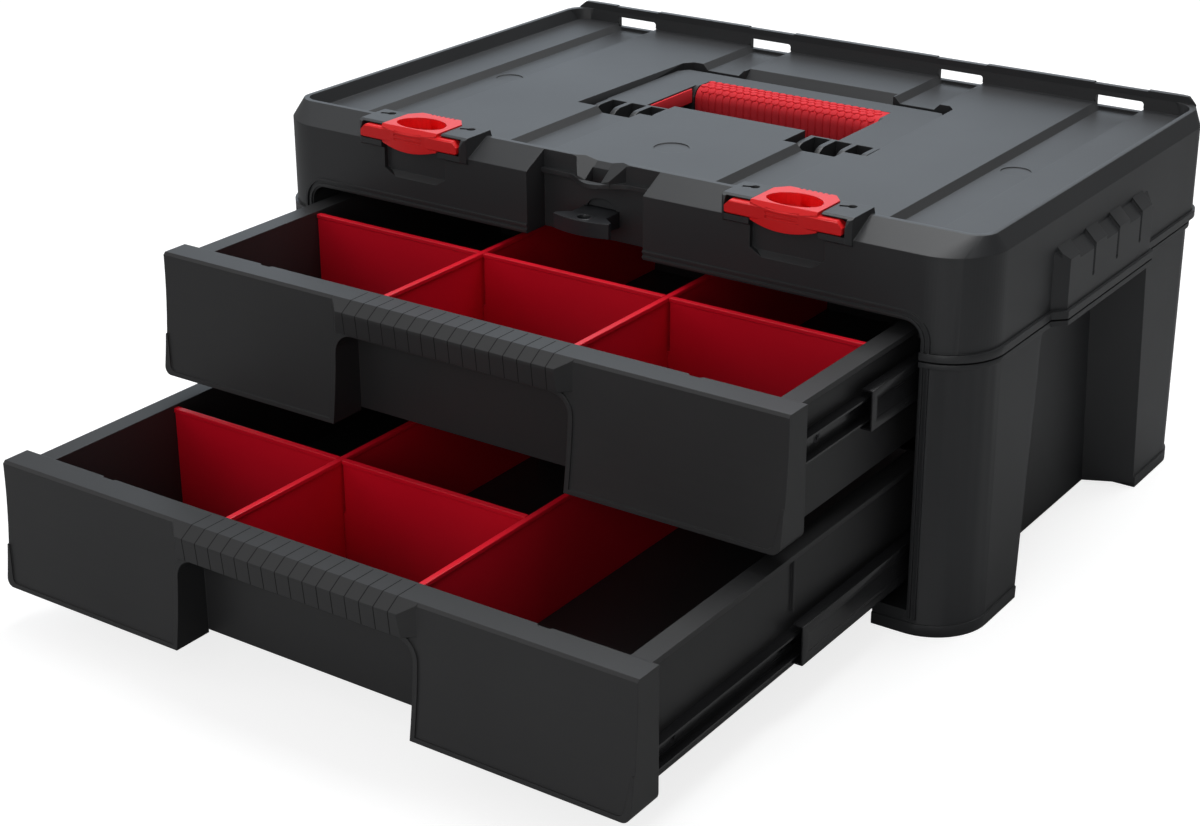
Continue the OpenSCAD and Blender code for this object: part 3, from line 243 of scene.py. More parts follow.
GRAIN_DETAIL = 3.0
GRAIN_ROUGHNESS = 0.62
GLOSS_SCALE = 14.0
GLOSS_DETAIL = 4.0
TONE_DETAIL = 5.0
TONE_SPAN = (0.35, 0.65)


class Group(StrEnum):
    """Names of the shader groups that several materials share."""

    GRAIN = "mould_grain"
    TONE = "tone_drift"


def group_socket(
    tree: bpy.types.NodeTree, name: str, direction: str, kind: str, default: float | None = None
) -> None:
    """Adds a socket to a group.

    Args:
        tree: The group.
        name: Name of the socket.
        direction: INPUT or OUTPUT.
        kind: Socket type, such as NodeSocketFloat.
        default: Value of an input that nothing feeds.
    """
    socket = tree.interface.new_socket(name=name, in_out=direction, socket_type=kind)
    if default is not None:
        socket.default_value = default


def make_grain_group() -> bpy.types.NodeTree:
    """Builds the fine spark-eroded texture of moulded plastic.

    Returns:
        A group that turns the grain's scale, a drift of the gloss and a roughness into the grain's
        height and a roughness that drifts over the surface.
    """
    tree = bpy.data.node_groups.new(Group.GRAIN, "ShaderNodeTree")
    for name, default in (("Scale", 900.0), ("Gloss Drift", 0.05), ("Roughness", 0.5)):
        group_socket(tree, name, "INPUT", "NodeSocketFloat", default)
    for name in ("Height", "Roughness"):
        group_socket(tree, name, "OUTPUT", "NodeSocketFloat")
    inlet, outlet = tree.nodes.new("NodeGroupInput"), tree.nodes.new("NodeGroupOutput")
    place = object_place(tree)
    fine = add_noise(tree, place, inlet.outputs["Scale"], GRAIN_DETAIL, GRAIN_ROUGHNESS)
    broad = add_noise(tree, place, GLOSS_SCALE, GLOSS_DETAIL)
    spread = add_math(tree, "SUBTRACT", broad, 0.5)
    gloss = add_math(
        tree, "MULTIPLY_ADD", spread, inlet.outputs["Gloss Drift"], inlet.outputs["Roughness"])
    feed(tree, outlet, {"Height": fine, "Roughness": gloss})
    return tree


def make_tone_group() -> bpy.types.NodeTree:
    """Builds a slow drift between two colours, as in a large moulding.

    Returns:
        A group that turns two colours and a scale into one colour.
    """
    tree = bpy.data.node_groups.new(Group.TONE, "ShaderNodeTree")
    for name in ("Colour", "Second Colour"):
        group_socket(tree, name, "INPUT", "NodeSocketColor")
    group_socket(tree, "Scale", "INPUT", "NodeSocketFloat", 9.0)
    group_socket(tree, "Colour", "OUTPUT", "NodeSocketColor")
    inlet, outlet = tree.nodes.new("NodeGroupInput"), tree.nodes.new("NodeGroupOutput")
    noise = add_noise(tree, object_place(tree), inlet.outputs["Scale"], TONE_DETAIL)
    share = add_range(tree, noise, TONE_SPAN, (0.0, 1.0))
    mix = add_mix(tree, share, inlet.outputs["Colour"], inlet.outputs["Second Colour"])
    feed(tree, outlet, {"Colour": mix})
    return tree


GROUP_MAKERS = {Group.GRAIN: make_grain_group, Group.TONE: make_tone_group}


def shared_group(
    tree: bpy.types.NodeTree, group: Group, values: dict[str | int, Value]
) -> bpy.types.Node:
    """Places a shared group in a material.

    Args:
        tree: Node tree of the material.
        group: Which group.
        values: What its inputs get.

    Returns:
        The group node.
    """
    node = tree.nodes.new("ShaderNodeGroup")
    node.node_tree = bpy.data.node_groups.get(group) or GROUP_MAKERS[group]()
    feed(tree, node, values)
    return node


# ------------------------------------------------------------------ finishes


@dataclass(frozen=True)
class Finish:
    """Finish of a material whose colour drifts a little over the surface.

    Attributes:
        name: Name of the material.
        colour: Its colour.
        second: The colour that it drifts to.
        roughness: Its middle roughness.
    """

    name: str
    colour: Colour
    second: Colour
    roughness: float

    def material(self) -> bpy.types.Material:
        """Makes the material, unless it is already there.

        Returns:
            The material.
        """
        found = bpy.data.materials.get(self.name)
        if found:
            return found
        made = bpy.data.materials.new(self.name)
        made.use_nodes = True
        self.paint(made.node_tree, made.node_tree.nodes["Principled BSDF"])
        return made

    def paint(self, tree: bpy.types.NodeTree, shader: bpy.types.Node) -> None:
        """Gives the material its colour.

        Args:
            tree: Node tree of the material.
            shader: Its Principled BSDF.
        """
        colours = {"Colour": (*self.colour, 1.0), "Second Colour": (*self.second, 1.0)}
        tone = shared_group(tree, Group.TONE, colours)
        feed(tree, shader, {"Base Color": tone.outputs["Colour"]})


@dataclass(frozen=True)
class Plastic(Finish):
    """Moulded plastic or rubber with a fine grain and softened edges.

    Attributes:
        grain: Scale of the grain.
        depth: Full height of the grain in millimetres.
        relief: Share of that height that shows.
        drift: How far the roughness drifts.
        specular: Level of its reflections.
        edge: Radius in millimetres over which the light turns round an edge.
        edge_samples: How finely that turn is sampled.
    """

    grain: float = 900.0
    depth: float = 0.02
    relief: float = 0.35
    drift: float = 0.06
    specular: float = 0.5
    edge: float = 0.6
    edge_samples: int = 4

    def paint(self, tree: bpy.types.NodeTree, shader: bpy.types.Node) -> None:
        """Gives the material its colour, its grain and its softened edges.

        Args:
            tree: Node tree of the material.
            shader: Its Principled BSDF.
        """
        super().paint(tree, shader)
        surface = {"Scale": self.grain, "Gloss Drift": self.drift, "Roughness": self.roughness}
        grain = shared_group(tree, Group.GRAIN, surface)
        corner = tree.nodes.new("ShaderNodeBevel")
        corner.samples = self.edge_samples
        feed(tree, corner, {"Radius": self.edge * MM})
        normal = add_relief(
            tree, grain.outputs["Height"], corner.outputs["Normal"], self.depth, self.relief)
        feed(tree, shader, {"Roughness": grain.outputs["Roughness"], "Normal": normal})
        feed(tree, shader, {"Specular IOR Level": self.specular})


@dataclass(frozen=True)
class Grooved(Plastic):
    """Moulded plastic of a drawer, with fine grooves across its finger grip and painted shade in
    them.

    Attributes:
        drawer: CAD node of the drawer.
        pitch: Distance in millimetres from one groove to the next.
        groove: Width of a groove in millimetres.
        dent: Depth of a groove in millimetres.
        shadow: Colour of the painted shade in a groove.
        dull: How much rougher a groove is.
        half: Half the length of the grooved field in millimetres.
        field_y: Middle of the field, in millimetres behind the drawer's front.
        field_half_y: Half the depth of the field in millimetres.
        field_z: Middle of the field, in millimetres above the drawer's underside.
        field_half_z: Half the height of the field in millimetres.
    """

    drawer: str = ""
    pitch: float = 9.0
    groove: float = 0.6
    dent: float = 0.8
    shadow: Colour = (0.004, 0.004, 0.0045)
    dull: float = 0.5
    half: float = 68.5
    field_y: float = 10.5
    field_half_y: float = 11.5
    field_z: float = 63.9
    field_half_z: float = 9.6

    def groove_mask(self, tree: bpy.types.NodeTree) -> bpy.types.NodeSocket:
        """Builds a mask that is 1 in the grooves and 0 everywhere else.

        Args:
            tree: Node tree of the material.

        Returns:
            The mask's socket.
        """
        low = Vector(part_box(self.drawer)[0]) / MM
        split = tree.nodes.new("ShaderNodeSeparateXYZ")
        feed(tree, split, {"Vector": object_place(tree)})
        x, y, z = split.outputs
        saw = add_math(tree, "PINGPONG", x, self.pitch / 2 * MM)
        line, across, deep, high = (
            add_math(tree, "COMPARE", value, middle * MM, half * MM)
            for value, middle, half in (
                (saw, self.pitch / 2, self.groove / 2),
                (x, 0.0, self.half),
                (y, low.y + self.field_y, self.field_half_y),
                (z, low.z + self.field_z, self.field_half_z),
            )
        )
        lines = add_math(tree, "MULTIPLY", line, across)
        return add_math(tree, "MULTIPLY", lines, add_math(tree, "MULTIPLY", deep, high))

    def paint(self, tree: bpy.types.NodeTree, shader: bpy.types.Node) -> None:
        """Gives the material the look of the plastic, with dented and dull grooves and painted
        shade in them.

        Args:
            tree: Node tree of the material.
            shader: Its Principled BSDF.
        """
        super().paint(tree, shader)
        mask = self.groove_mask(tree)
        tone, gloss, grain = (
            shader.inputs[name].links[0].from_socket
            for name in ("Base Color", "Roughness", "Normal")
        )
        feed(tree, shader, {
            # painted shade: the grooves' colour is darkened to stand in for the shade in them
            "Base Color": add_mix(tree, mask, tone, (*self.shadow, 1.0)),
            "Roughness": add_math(tree, "MULTIPLY_ADD", mask, self.dull, gloss),
            "Normal": add_relief(tree, mask, grain, self.dent, inward=True),
        })


@dataclass(frozen=True)
class Metal(Finish):
    """Plated, coated or polished steel with drawing lines along Y.

    Attributes:
        metallic: 1 for bare or plated steel, 0 under a coat of paint.
        line_stretch: How much longer than wide the drawing lines are.
        line_scale: How often the lines vary along a metre of their length.
        line_gloss: Least and greatest difference that a line makes to the roughness.
    """

    metallic: float = 1.0
    line_stretch: float = 60.0
    line_scale: float = 20.0
    line_gloss: tuple[float, float] = (-0.06, 0.1)

    def paint(self, tree: bpy.types.NodeTree, shader: bpy.types.Node) -> None:
        """Gives the material its colour and its drawing lines.

        Args:
            tree: Node tree of the material.
            shader: Its Principled BSDF.
        """
        super().paint(tree, shader)
        stretch = tree.nodes.new("ShaderNodeMapping")
        scales = (self.line_stretch, 1.0, self.line_stretch)
        feed(tree, stretch, {"Vector": object_place(tree), "Scale": scales})
        lines = add_noise(tree, stretch.outputs["Vector"], self.line_scale)
        least, most = (self.roughness + change for change in self.line_gloss)
        roughness = add_range(tree, lines, (0.0, 1.0), (least, most))
        feed(tree, shader, {"Metallic": self.metallic, "Roughness": roughness})


GRIP_RUBBER = Plastic(
    "grip_rubber", (0.80, 0.010, 0.018), (0.86, 0.014, 0.022), 0.5, specular=0.4)
SLIDE_STEEL = Metal(
    "slide_black", (0.010, 0.010, 0.011), (0.016, 0.016, 0.017), 0.22, metallic=0.0)

SLOT_FINISHES = {
    "case_plastic": Plastic("case_charcoal", (0.021, 0.022, 0.024), (0.025, 0.026, 0.028), 0.46),
    "lid_plastic": Plastic("lid_charcoal", (0.025, 0.026, 0.028), (0.029, 0.030, 0.032), 0.44),
    "tab_plastic": Plastic("tab_black", (0.018, 0.019, 0.022), (0.022, 0.023, 0.026), 0.38),
    "latch_plastic": Plastic(
        "latch_red", (0.80, 0.012, 0.014), (0.84, 0.016, 0.018), 0.38, drift=0.03, specular=0.35),
    "divider_plastic": Plastic(
        "divider_red", (0.78, 0.004, 0.020), (0.84, 0.006, 0.024), 0.34, drift=0.03),
    "grip_rubber": GRIP_RUBBER,
    "slide_steel": SLIDE_STEEL,
    "cage_steel": Metal("cage_zinc", (0.42, 0.42, 0.44), (0.5, 0.5, 0.52), 0.38),
    "ball_steel": Metal("ball_steel", (0.6, 0.6, 0.62), (0.66, 0.66, 0.68), 0.12),
    "screw_steel": Metal("screw_black", (0.04, 0.04, 0.043), (0.06, 0.06, 0.064), 0.36),
}

DRAWER_FINISHES = {
    "upper_drawer": Grooved(
        "upper_drawer_charcoal", (0.022, 0.022, 0.023), (0.026, 0.026, 0.027), 0.46,
        drawer="upper_drawer"),
    "lower_drawer": Grooved(
        "lower_drawer_charcoal", (0.021, 0.021, 0.022), (0.025, 0.025, 0.026), 0.46,
        drawer="lower_drawer"),
}


# ------------------------------------------------------------------ dressing of CAD nodes


@dataclass(frozen=True)
class EdgeRound:
    """How the edges of a CAD node are rounded.

    Attributes:
        width: Width of the rounding in millimetres.
        segments: Number of faces across it.
        angle: Least angle in degrees between two faces at which their edge is rounded.
        weld: Distance in millimetres under which points become one.
        flat: Angle in degrees under which faces become one.
    """

    width: float
    segments: int = 2
    angle: float = 28.0
    weld: float = 0.02
    flat: float = 0.4

    def apply_to(self, node: bpy.types.Object) -> None:
        """Adds the modifiers that merge, clean and round a node's edges.

        Args:
            node: The CAD node's object. Its own mesh stays as it is.
        """
        weld = node.modifiers.new("weld", "WELD")
        weld.merge_threshold = self.weld * MM
        flat = node.modifiers.new("flat", "DECIMATE")
        flat.decimate_type = "DISSOLVE"
        flat.angle_limit = math.radians(self.flat)
        edge = node.modifiers.new("edge", "BEVEL")
        edge.width = self.width * MM
        edge.segments = self.segments
        edge.limit_method = "ANGLE"
        edge.angle_limit = math.radians(self.angle)
        edge.harden_normals = True
        edge.use_clamp_overlap = True


def edge_rounds() -> dict[str, EdgeRound]:
    """Lists the CAD nodes whose edges are rounded.

    Returns:
        The rounding of each node, under the node's name.
    """
    widths = {
        "lower_shell": 0.7,
        "top_shell": 0.5,
        "latch_left": 0.6,
        "latch_right": 0.6,
        "handle_frame": 0.5,
        "lock_tab": 0.5,
    }
    for level in Level:
        widths[f"{level}_drawer"] = 0.6
        for part in ("long", "left", "right"):
            widths[f"{level}_divider_{part}"] = 0.5
        for side, part in product(Side, ("outer", "inner")):
            widths[f"{level}_{side}_slide_{part}"] = 0.3
    return {node: EdgeRound(width) for node, width in widths.items()}


@dataclass
class Dresser:
    """Gives every CAD node its finish and its rounded edges.

    Attributes:
    """

    frame: dict

    def dress(self) -> None:
        """Paints each node from its material slot and rounds the listed ones."""
        slots = {part["node"]: part["material_slot"] for part in self.frame["record"]["subparts"]}
        rounds = edge_rounds()
        for name, node in self.frame["nodes"].items():
            finish = (DRAWER_FINISHES.get(name) or SLOT_FINISHES[slots[name]]).material()
            for place in node.material_slots:
                place.material = finish
            if name in rounds:
                rounds[name].apply_to(node)
            log.info("dressed %s in %s", name, finish.name)


# ------------------------------------------------------------------ shaping by hand


def deselect() -> None:
    """Leaves nothing selected, so that an operator acts on new things alone."""
    bpy.ops.object.select_all(action="DESELECT")


def in_metres(values: Point) -> Vector:
    """Turns a place or size in millimetres into metres."""
    return Vector(values) * MM


def new_block(name: str, low: Point, high: Point) -> bpy.types.Object:
    """Adds a block between two corners, with its origin at the scene's origin.

    Args:
        name: Name of the object.
        low: Lowest corner in millimetres.
        high: Highest corner in millimetres.

    Returns:
        The new object.
    """
    deselect()
    start, end = in_metres(low), in_metres(high)
    bpy.ops.mesh.primitive_cube_add(size=1.0, location=(start + end) / 2)
    block = bpy.context.object
    block.name = name
    block.scale = end - start
    bpy.ops.object.transform_apply(location=True, rotation=True, scale=True)
    return block


def select_edges(piece: bpy.types.Object, wanted: Callable[[Vector, Vector], bool]) -> None:
    """Selects the edges whose two end points satisfy a test, and stays in edit mode.

    Args:
        piece: The object in edit mode.
        wanted: Test of an edge's two end points.
    """
    bpy.ops.mesh.select_mode(type="EDGE")
    bpy.ops.mesh.select_all(action="DESELECT")
    bpy.ops.object.mode_set(mode="OBJECT")
    points = piece.data.vertices
    for edge in piece.data.edges:
        edge.select = wanted(points[edge.vertices[0]].co, points[edge.vertices[1]].co)
    bpy.ops.object.mode_set(mode="EDIT")


def select_largest_face(piece: bpy.types.Object, normal: Point) -> None:
    """Selects the largest face that points in a direction, and stays in edit mode.

    Args:
        piece: The object in edit mode.
        normal: Direction that the face points in.
    """
    bpy.ops.mesh.select_mode(type="FACE")
    bpy.ops.mesh.select_all(action="DESELECT")
    bpy.ops.object.mode_set(mode="OBJECT")
    facing = [face for face in piece.data.polygons if face.normal.dot(Vector(normal)) > 0.99]
    max(facing, key=lambda face: face.area).select = True
    bpy.ops.object.mode_set(mode="EDIT")


def along_x(start: Vector, end: Vector) -> bool:
    """Tells whether an edge runs along X."""
    return abs((end - start).normalized().x) > 0.999


def across_x(start: Vector, end: Vector) -> bool:
    """Tells whether an edge runs at right angles to X."""
    return abs(start.x - end.x) < NEAR


def cut_away(point: Point, normal: Point) -> None:
    """Removes what lies on the side of a plane that its normal points to, and closes the cut.

    Args:
        point: A point of the plane in millimetres.
        normal: Direction of the side that goes.
    """
    bpy.ops.mesh.select_all(action="SELECT")
    bpy.ops.mesh.bisect(plane_co=in_metres(point), plane_no=normal, clear_outer=True, use_fill=True)


def round_selected(width: float, segments: int = 2) -> None:
    """Rounds the selected edges and leaves edit mode.

    Args:
        width: Width of the rounding in millimetres.
        segments: Number of faces across it.
    """
    bpy.ops.mesh.bevel(offset=width * MM, segments=segments, affect="EDGES")
    bpy.ops.object.mode_set(mode="OBJECT")


def apply_modifier(piece: bpy.types.Object, modifier: bpy.types.Modifier) -> None:
    """Makes a modifier's result the object's own mesh.

    Args:
        piece: The object.
        modifier: Its modifier.
    """
    bpy.context.view_layer.objects.active = piece
    bpy.ops.object.modifier_apply(modifier=modifier.name)


def repeat_along_x(piece: bpy.types.Object, count: int, pitch: float) -> None:
    """Repeats an object in a row along X and keeps the row as one mesh.

    Args:
        piece: The object.
        count: How many there are in the row.
        pitch: Distance to the next one in millimetres.
    """
    row = piece.modifiers.new("row", "ARRAY")
    row.count = count
    row.use_relative_offset = False
    row.use_constant_offset = True
    row.constant_offset_displace = in_metres((pitch, 0.0, 0.0))
    apply_modifier(piece, row)


def join(pieces: list[bpy.types.Object], name: str) -> bpy.types.Object:
    """Joins objects into one.

    Args:
        pieces: The objects; the first one takes in the others.
        name: Name of the result.

    Returns:
        The joined object.
    """
    deselect()
    for piece in pieces:
        piece.select_set(True)
    bpy.context.view_layer.objects.active = pieces[0]
    bpy.ops.object.join()
    pieces[0].name = name
    pieces[0].data.name = name
    return pieces[0]


def smooth(piece: bpy.types.Object, angle: float = 32.0) -> None:
    """Shades an object smooth, except over its sharp edges.

    Args:
        piece: The object.
        angle: Angle in degrees over which an edge is sharp.
    """
    deselect()
    piece.select_set(True)
    bpy.context.view_layer.objects.active = piece
    bpy.ops.object.shade_smooth_by_angle(angle=math.radians(angle))


def cover_with(piece: bpy.types.Object, finish: Finish) -> None:
    """Gives an object one finish all over.

    Args:
        piece: The object.
        finish: The finish.
    """
    piece.data.materials.clear()
    piece.data.materials.append(finish.material())


# ------------------------------------------------------------------ the handle's soft grip


@dataclass(frozen=True)
class SoftGrip:
    """Soft cover of the handle's grip: studs on top, ribs down its front, linings on the arms.

    The cover is a bar along X with a rounded section, cut away under the rear bar of the handle's
    plate. The studs lie in rows on its top and go on over its front edge, down to the ribs. All
    sizes are in millimetres.

    Attributes:
        half: Half the length of the cover.
        middle_y: Y of the section's middle.
        middle_z: Z of the section's middle.
        half_y: Half the section's depth.
        half_z: Half the section's height.
        corner: Radius of the section's corners.
        bar_y: Y of the bar's front edge.
        bar_z: Z of the bar's underside.
        sink: How deep the cover lies in the section, so that studs and ribs stay within it.
        end_round: Rounding of the cover's ends.
        end_segments: Number of faces across that rounding.
        corner_segments: Number of faces round each corner of the section.
        pitch: Distance along X from one stud or rib to the next.
        row_pitch: Distance from one row of studs to the next.
        row_gap: Distance of the rearmost row from the bar.
        stud_rows: Number of rows.
        stud_r: Radius of a stud's six corners.
        stud_h: Height of a stud, part of it in the cover.
        stud_depth: Depth of a stud as a share of its six-sided shape.
        stud_round: Rounding of a stud's top.
        stud_margin: Distance of the first stud from the cover's end.
        rib_w: Width of a rib.
        rib_round: Rounding of a rib's edges.
        rib_margin: Distance of the first rib from the cover's end.
        rib_turn: Angle in degrees, above the level of the front, up to which the ribs reach.
        lining: Lowest and highest corner of the right arm's lining.
        lining_round: Rounding of a lining's edges.
    """

    half: float = 66.5
    middle_y: float = 71.0
    middle_z: float = 203.4
    half_y: float = 18.0
    half_z: float = 14.6
    corner: float = 9.0
    bar_y: float = 73.0
    bar_z: float = 207.5
    sink: float = 0.7
    end_round: float = 0.8
    end_segments: int = 3
    corner_segments: int = 10
    pitch: float = 5.3
    row_pitch: float = 4.7
    row_gap: float = 2.6
    stud_rows: int = 4
    stud_r: float = 2.75
    stud_h: float = 2.0
    stud_depth: float = 0.86
    stud_round: float = 0.45
    stud_margin: float = 3.2
    rib_w: float = 4.3
    rib_round: float = 0.4
    rib_margin: float = 1.0
    rib_turn: float = 52.0
    lining: tuple[Point, Point] = ((67.5, 5.0, 207.5), (69.0, 52.5, 216.7))
    lining_round: float = 0.4

    def build(self) -> bpy.types.Object:
        """Models the cover in place of its CAD node.

        Returns:
            The finished piece.
        """
        parts = [self.cover()]
        parts += [self.stud_row(row) for row in range(self.stud_rows)]
        parts.append(self.ribs())
        parts += [self.arm_lining(side) for side in Side]
        piece = join(parts, "soft_grip")
        smooth(piece)
        cover_with(piece, GRIP_RUBBER)
        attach(piece, "handle")
        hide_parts("handle_grip")
        return piece

    def bend(self) -> tuple[float, float]:
        """Returns Y and Z of the line that the section's upper front corner turns round."""
        return self.middle_y - self.half_y + self.corner, self.middle_z + self.half_z - self.corner

    def section_block(self, name: str, x0: float, x1: float, sink: float) -> bpy.types.Object:
        """Makes a length of the grip's rounded section.

        Args:
            name: Name of the block.
            x0: Left end in millimetres.
            x1: Right end in millimetres.
            sink: How deep its surface lies in the section, in millimetres.

        Returns:
            The block, left in edit mode.
        """
        block = new_block(
            name,
            (x0, self.middle_y - self.half_y + sink, self.middle_z - self.half_z + sink),
            (x1, self.middle_y + self.half_y - sink, self.middle_z + self.half_z - sink),
        )
        bpy.ops.object.mode_set(mode="EDIT")
        select_edges(block, along_x)
        bpy.ops.mesh.bevel(
            offset=(self.corner - sink) * MM, segments=self.corner_segments, affect="EDGES")
        return block

    def cover(self) -> bpy.types.Object:
        """Makes the plain cover, cut away where the plate's rear bar lies on it.

        Returns:
            The cover.
        """
        front = self.section_block("cover", -self.half, self.half, self.sink)
        cut_away((0.0, self.bar_y, 0.0), (0.0, 1.0, 0.0))
        select_edges(front, lambda a, b: across_x(a, b) and abs(a.x) > self.half * MM - NEAR)
        round_selected(self.end_round, self.end_segments)
        rear = self.section_block("cover_rear", -self.half, self.half, self.sink)
        cut_away((0.0, self.bar_y, 0.0), (0.0, -1.0, 0.0))
        cut_away((0.0, 0.0, self.bar_z), (0.0, 0.0, 1.0))
        bpy.ops.object.mode_set(mode="OBJECT")
        return join([front, rear], "cover")

    def stud_row(self, row: int) -> bpy.types.Object:
        """Makes one row of six-sided studs, the nearest rows bent over the front edge.

        Args:
            row: Number of the row, counted from the rear.

        Returns:
            The row as one object.
        """
        bend_y, bend_z = self.bend()
        run = bend_y - (self.bar_y - self.row_gap - row * self.row_pitch)
        angle = max(0.0, run / self.corner)
        first_x = -self.half + self.stud_margin + (self.pitch / 2 if row % 2 else 0.0)
        top = in_metres((
            first_x,
            bend_y - min(run, 0.0) - self.corner * math.sin(angle),
            bend_z + self.corner * math.cos(angle),
        ))
        deselect()
        bpy.ops.mesh.primitive_cylinder_add(
            vertices=6, radius=self.stud_r * MM, depth=self.stud_h * MM,
            location=top - in_metres((0.0, 0.0, self.stud_h / 2)))
        stud = bpy.context.object
        bpy.ops.object.transform_apply(location=True, rotation=True, scale=True)
        bpy.ops.object.mode_set(mode="EDIT")
        bpy.ops.mesh.select_all(action="SELECT")
        bpy.ops.transform.resize(value=(1.0, self.stud_depth, 1.0), center_override=top)
        if angle > 0.0:
            bpy.ops.transform.rotate(value=-angle, orient_axis="X", center_override=top)
        outward = Vector((0.0, -math.sin(angle), math.cos(angle)))
        select_edges(stud, lambda a, b: min((a - top).dot(outward), (b - top).dot(outward)) > -NEAR)
        round_selected(self.stud_round)
        count = int((self.half - self.stud_margin - first_x) / self.pitch) + 1
        repeat_along_x(stud, count, self.pitch)
        return stud

    def ribs(self) -> bpy.types.Object:
        """Makes the upright ribs that wrap the lower part of the front edge.

        Returns:
            The ribs as one object.
        """
        first_x = -self.half + self.rib_margin
        rib = self.section_block("ribs", first_x, first_x + self.rib_w, 0.0)
        turn = math.radians(self.rib_turn)
        cut_away((0.0, *self.bend()), (0.0, math.cos(turn), math.sin(turn)))
        cut_away((0.0, self.middle_y, 0.0), (0.0, 1.0, 0.0))
        select_edges(rib, lambda a, b: across_x(a, b) and a.y < self.middle_y * MM - NEAR)
        round_selected(self.rib_round)
        repeat_along_x(rib, int(2 * (self.half - self.rib_margin) / self.pitch), self.pitch)
        return rib

    def arm_lining(self, side: Side) -> bpy.types.Object:
        """Makes the thin lining of one arm, with its edges rounded.

        Args:
            side: Side of the arm.

        Returns:
            The lining.
        """
        (x0, y0, z0), (x1, y1, z1) = self.lining
        x0, x1 = sorted((side.outward() * x0, side.outward() * x1))
        lining = new_block("lining", (x0, y0, z0), (x1, y1, z1))
        bpy.ops.object.mode_set(mode="EDIT")
        bpy.ops.mesh.select_all(action="SELECT")
        round_selected(self.lining_round)
        return lining


# ------------------------------------------------------------------ middle members of the slides


@dataclass(frozen=True)
class SlideMember:
    """Middle member of a ball-bearing slide: a rolled channel with a pressed panel along its web.

    The sizes are in millimetres.

    Attributes:
        level: The drawer that it carries.
        side: The side of the box that it is on.
        strip: Thickness of the steel strip.
        over: How far the channel is made too long at each end, before it is cut off.
        border: Width of the flat border round the pressed panel.
        sink: Depth of the panel.
        edge: Rounding of the edges.
        edge_segments: Number of faces across that rounding.
    """

    level: Level
    side: Side
    strip: float = 1.2
    over: float = 4.0
    border: float = 5.6
    sink: float = 0.45
    edge: float = 0.3
    edge_segments: int = 2

    def build(self) -> bpy.types.Object:
        """Models the member in place of its CAD node.

        Returns:
            The finished piece.
        """
        node = f"{self.level}_{self.side}_slide_middle"
        low, high = (Vector(corner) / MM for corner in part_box(node))
        web = self.side.outward()
        name = f"{self.level}_{self.side}_middle_member"
        piece = new_block(
            name, (low.x, low.y - self.over, low.z), (high.x, high.y + self.over, high.z))
        bpy.ops.object.mode_set(mode="EDIT")
        select_largest_face(piece, (-web, 0.0, 0.0))
        bpy.ops.mesh.inset(thickness=self.strip * MM)
        deep = web * (high.x - low.x - self.strip) * MM
        bpy.ops.mesh.extrude_region_move(TRANSFORM_OT_translate={"value": (deep, 0.0, 0.0)})
        cut_away((0.0, low.y, 0.0), (0.0, -1.0, 0.0))
        cut_away((0.0, high.y, 0.0), (0.0, 1.0, 0.0))
        select_largest_face(piece, (web, 0.0, 0.0))
        bpy.ops.mesh.inset(thickness=self.border * MM)
        bpy.ops.mesh.inset(thickness=self.sink * MM, depth=-self.sink * MM)
        bpy.ops.object.mode_set(mode="OBJECT")
        edge = piece.modifiers.new("edge", "BEVEL")
        edge.width = self.edge * MM
        edge.segments = self.edge_segments
        edge.limit_method = "ANGLE"
        apply_modifier(piece, edge)
        smooth(piece)
        piece.data.name = name
        cover_with(piece, SLIDE_STEEL)
        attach(piece, f"{self.level}_middle")
        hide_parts(node)
        return piece


# ------------------------------------------------------------------ studio


@dataclass(frozen=True)
class Lamp:
    """A square studio softbox that points at the tool box.

    Attributes:
        name: Name of the lamp.
        place: Where it hangs.
        size: Length of its side.
        power: Its power in watts.
        colour: Colour of its light.
    """

    name: str
    place: Point
    size: float
    power: float
    colour: Colour = (1.0, 1.0, 1.0)

    def hang(self, target: Vector) -> None:
        """Creates the lamp.

        Args:
            target: The point that it lights.
        """
        data = bpy.data.lights.new(self.name, "AREA")
        data.shape = "SQUARE"
        data.size = self.size
        data.energy = self.power
        data.color = self.colour
        lamp = bpy.data.objects.new(self.name, data)
        lamp.location = self.place
        lamp.rotation_mode = "QUATERNION"
        lamp.rotation_quaternion = (target - Vector(self.place)).to_track_quat("-Z", "Y")
        bpy.context.collection.objects.link(lamp)


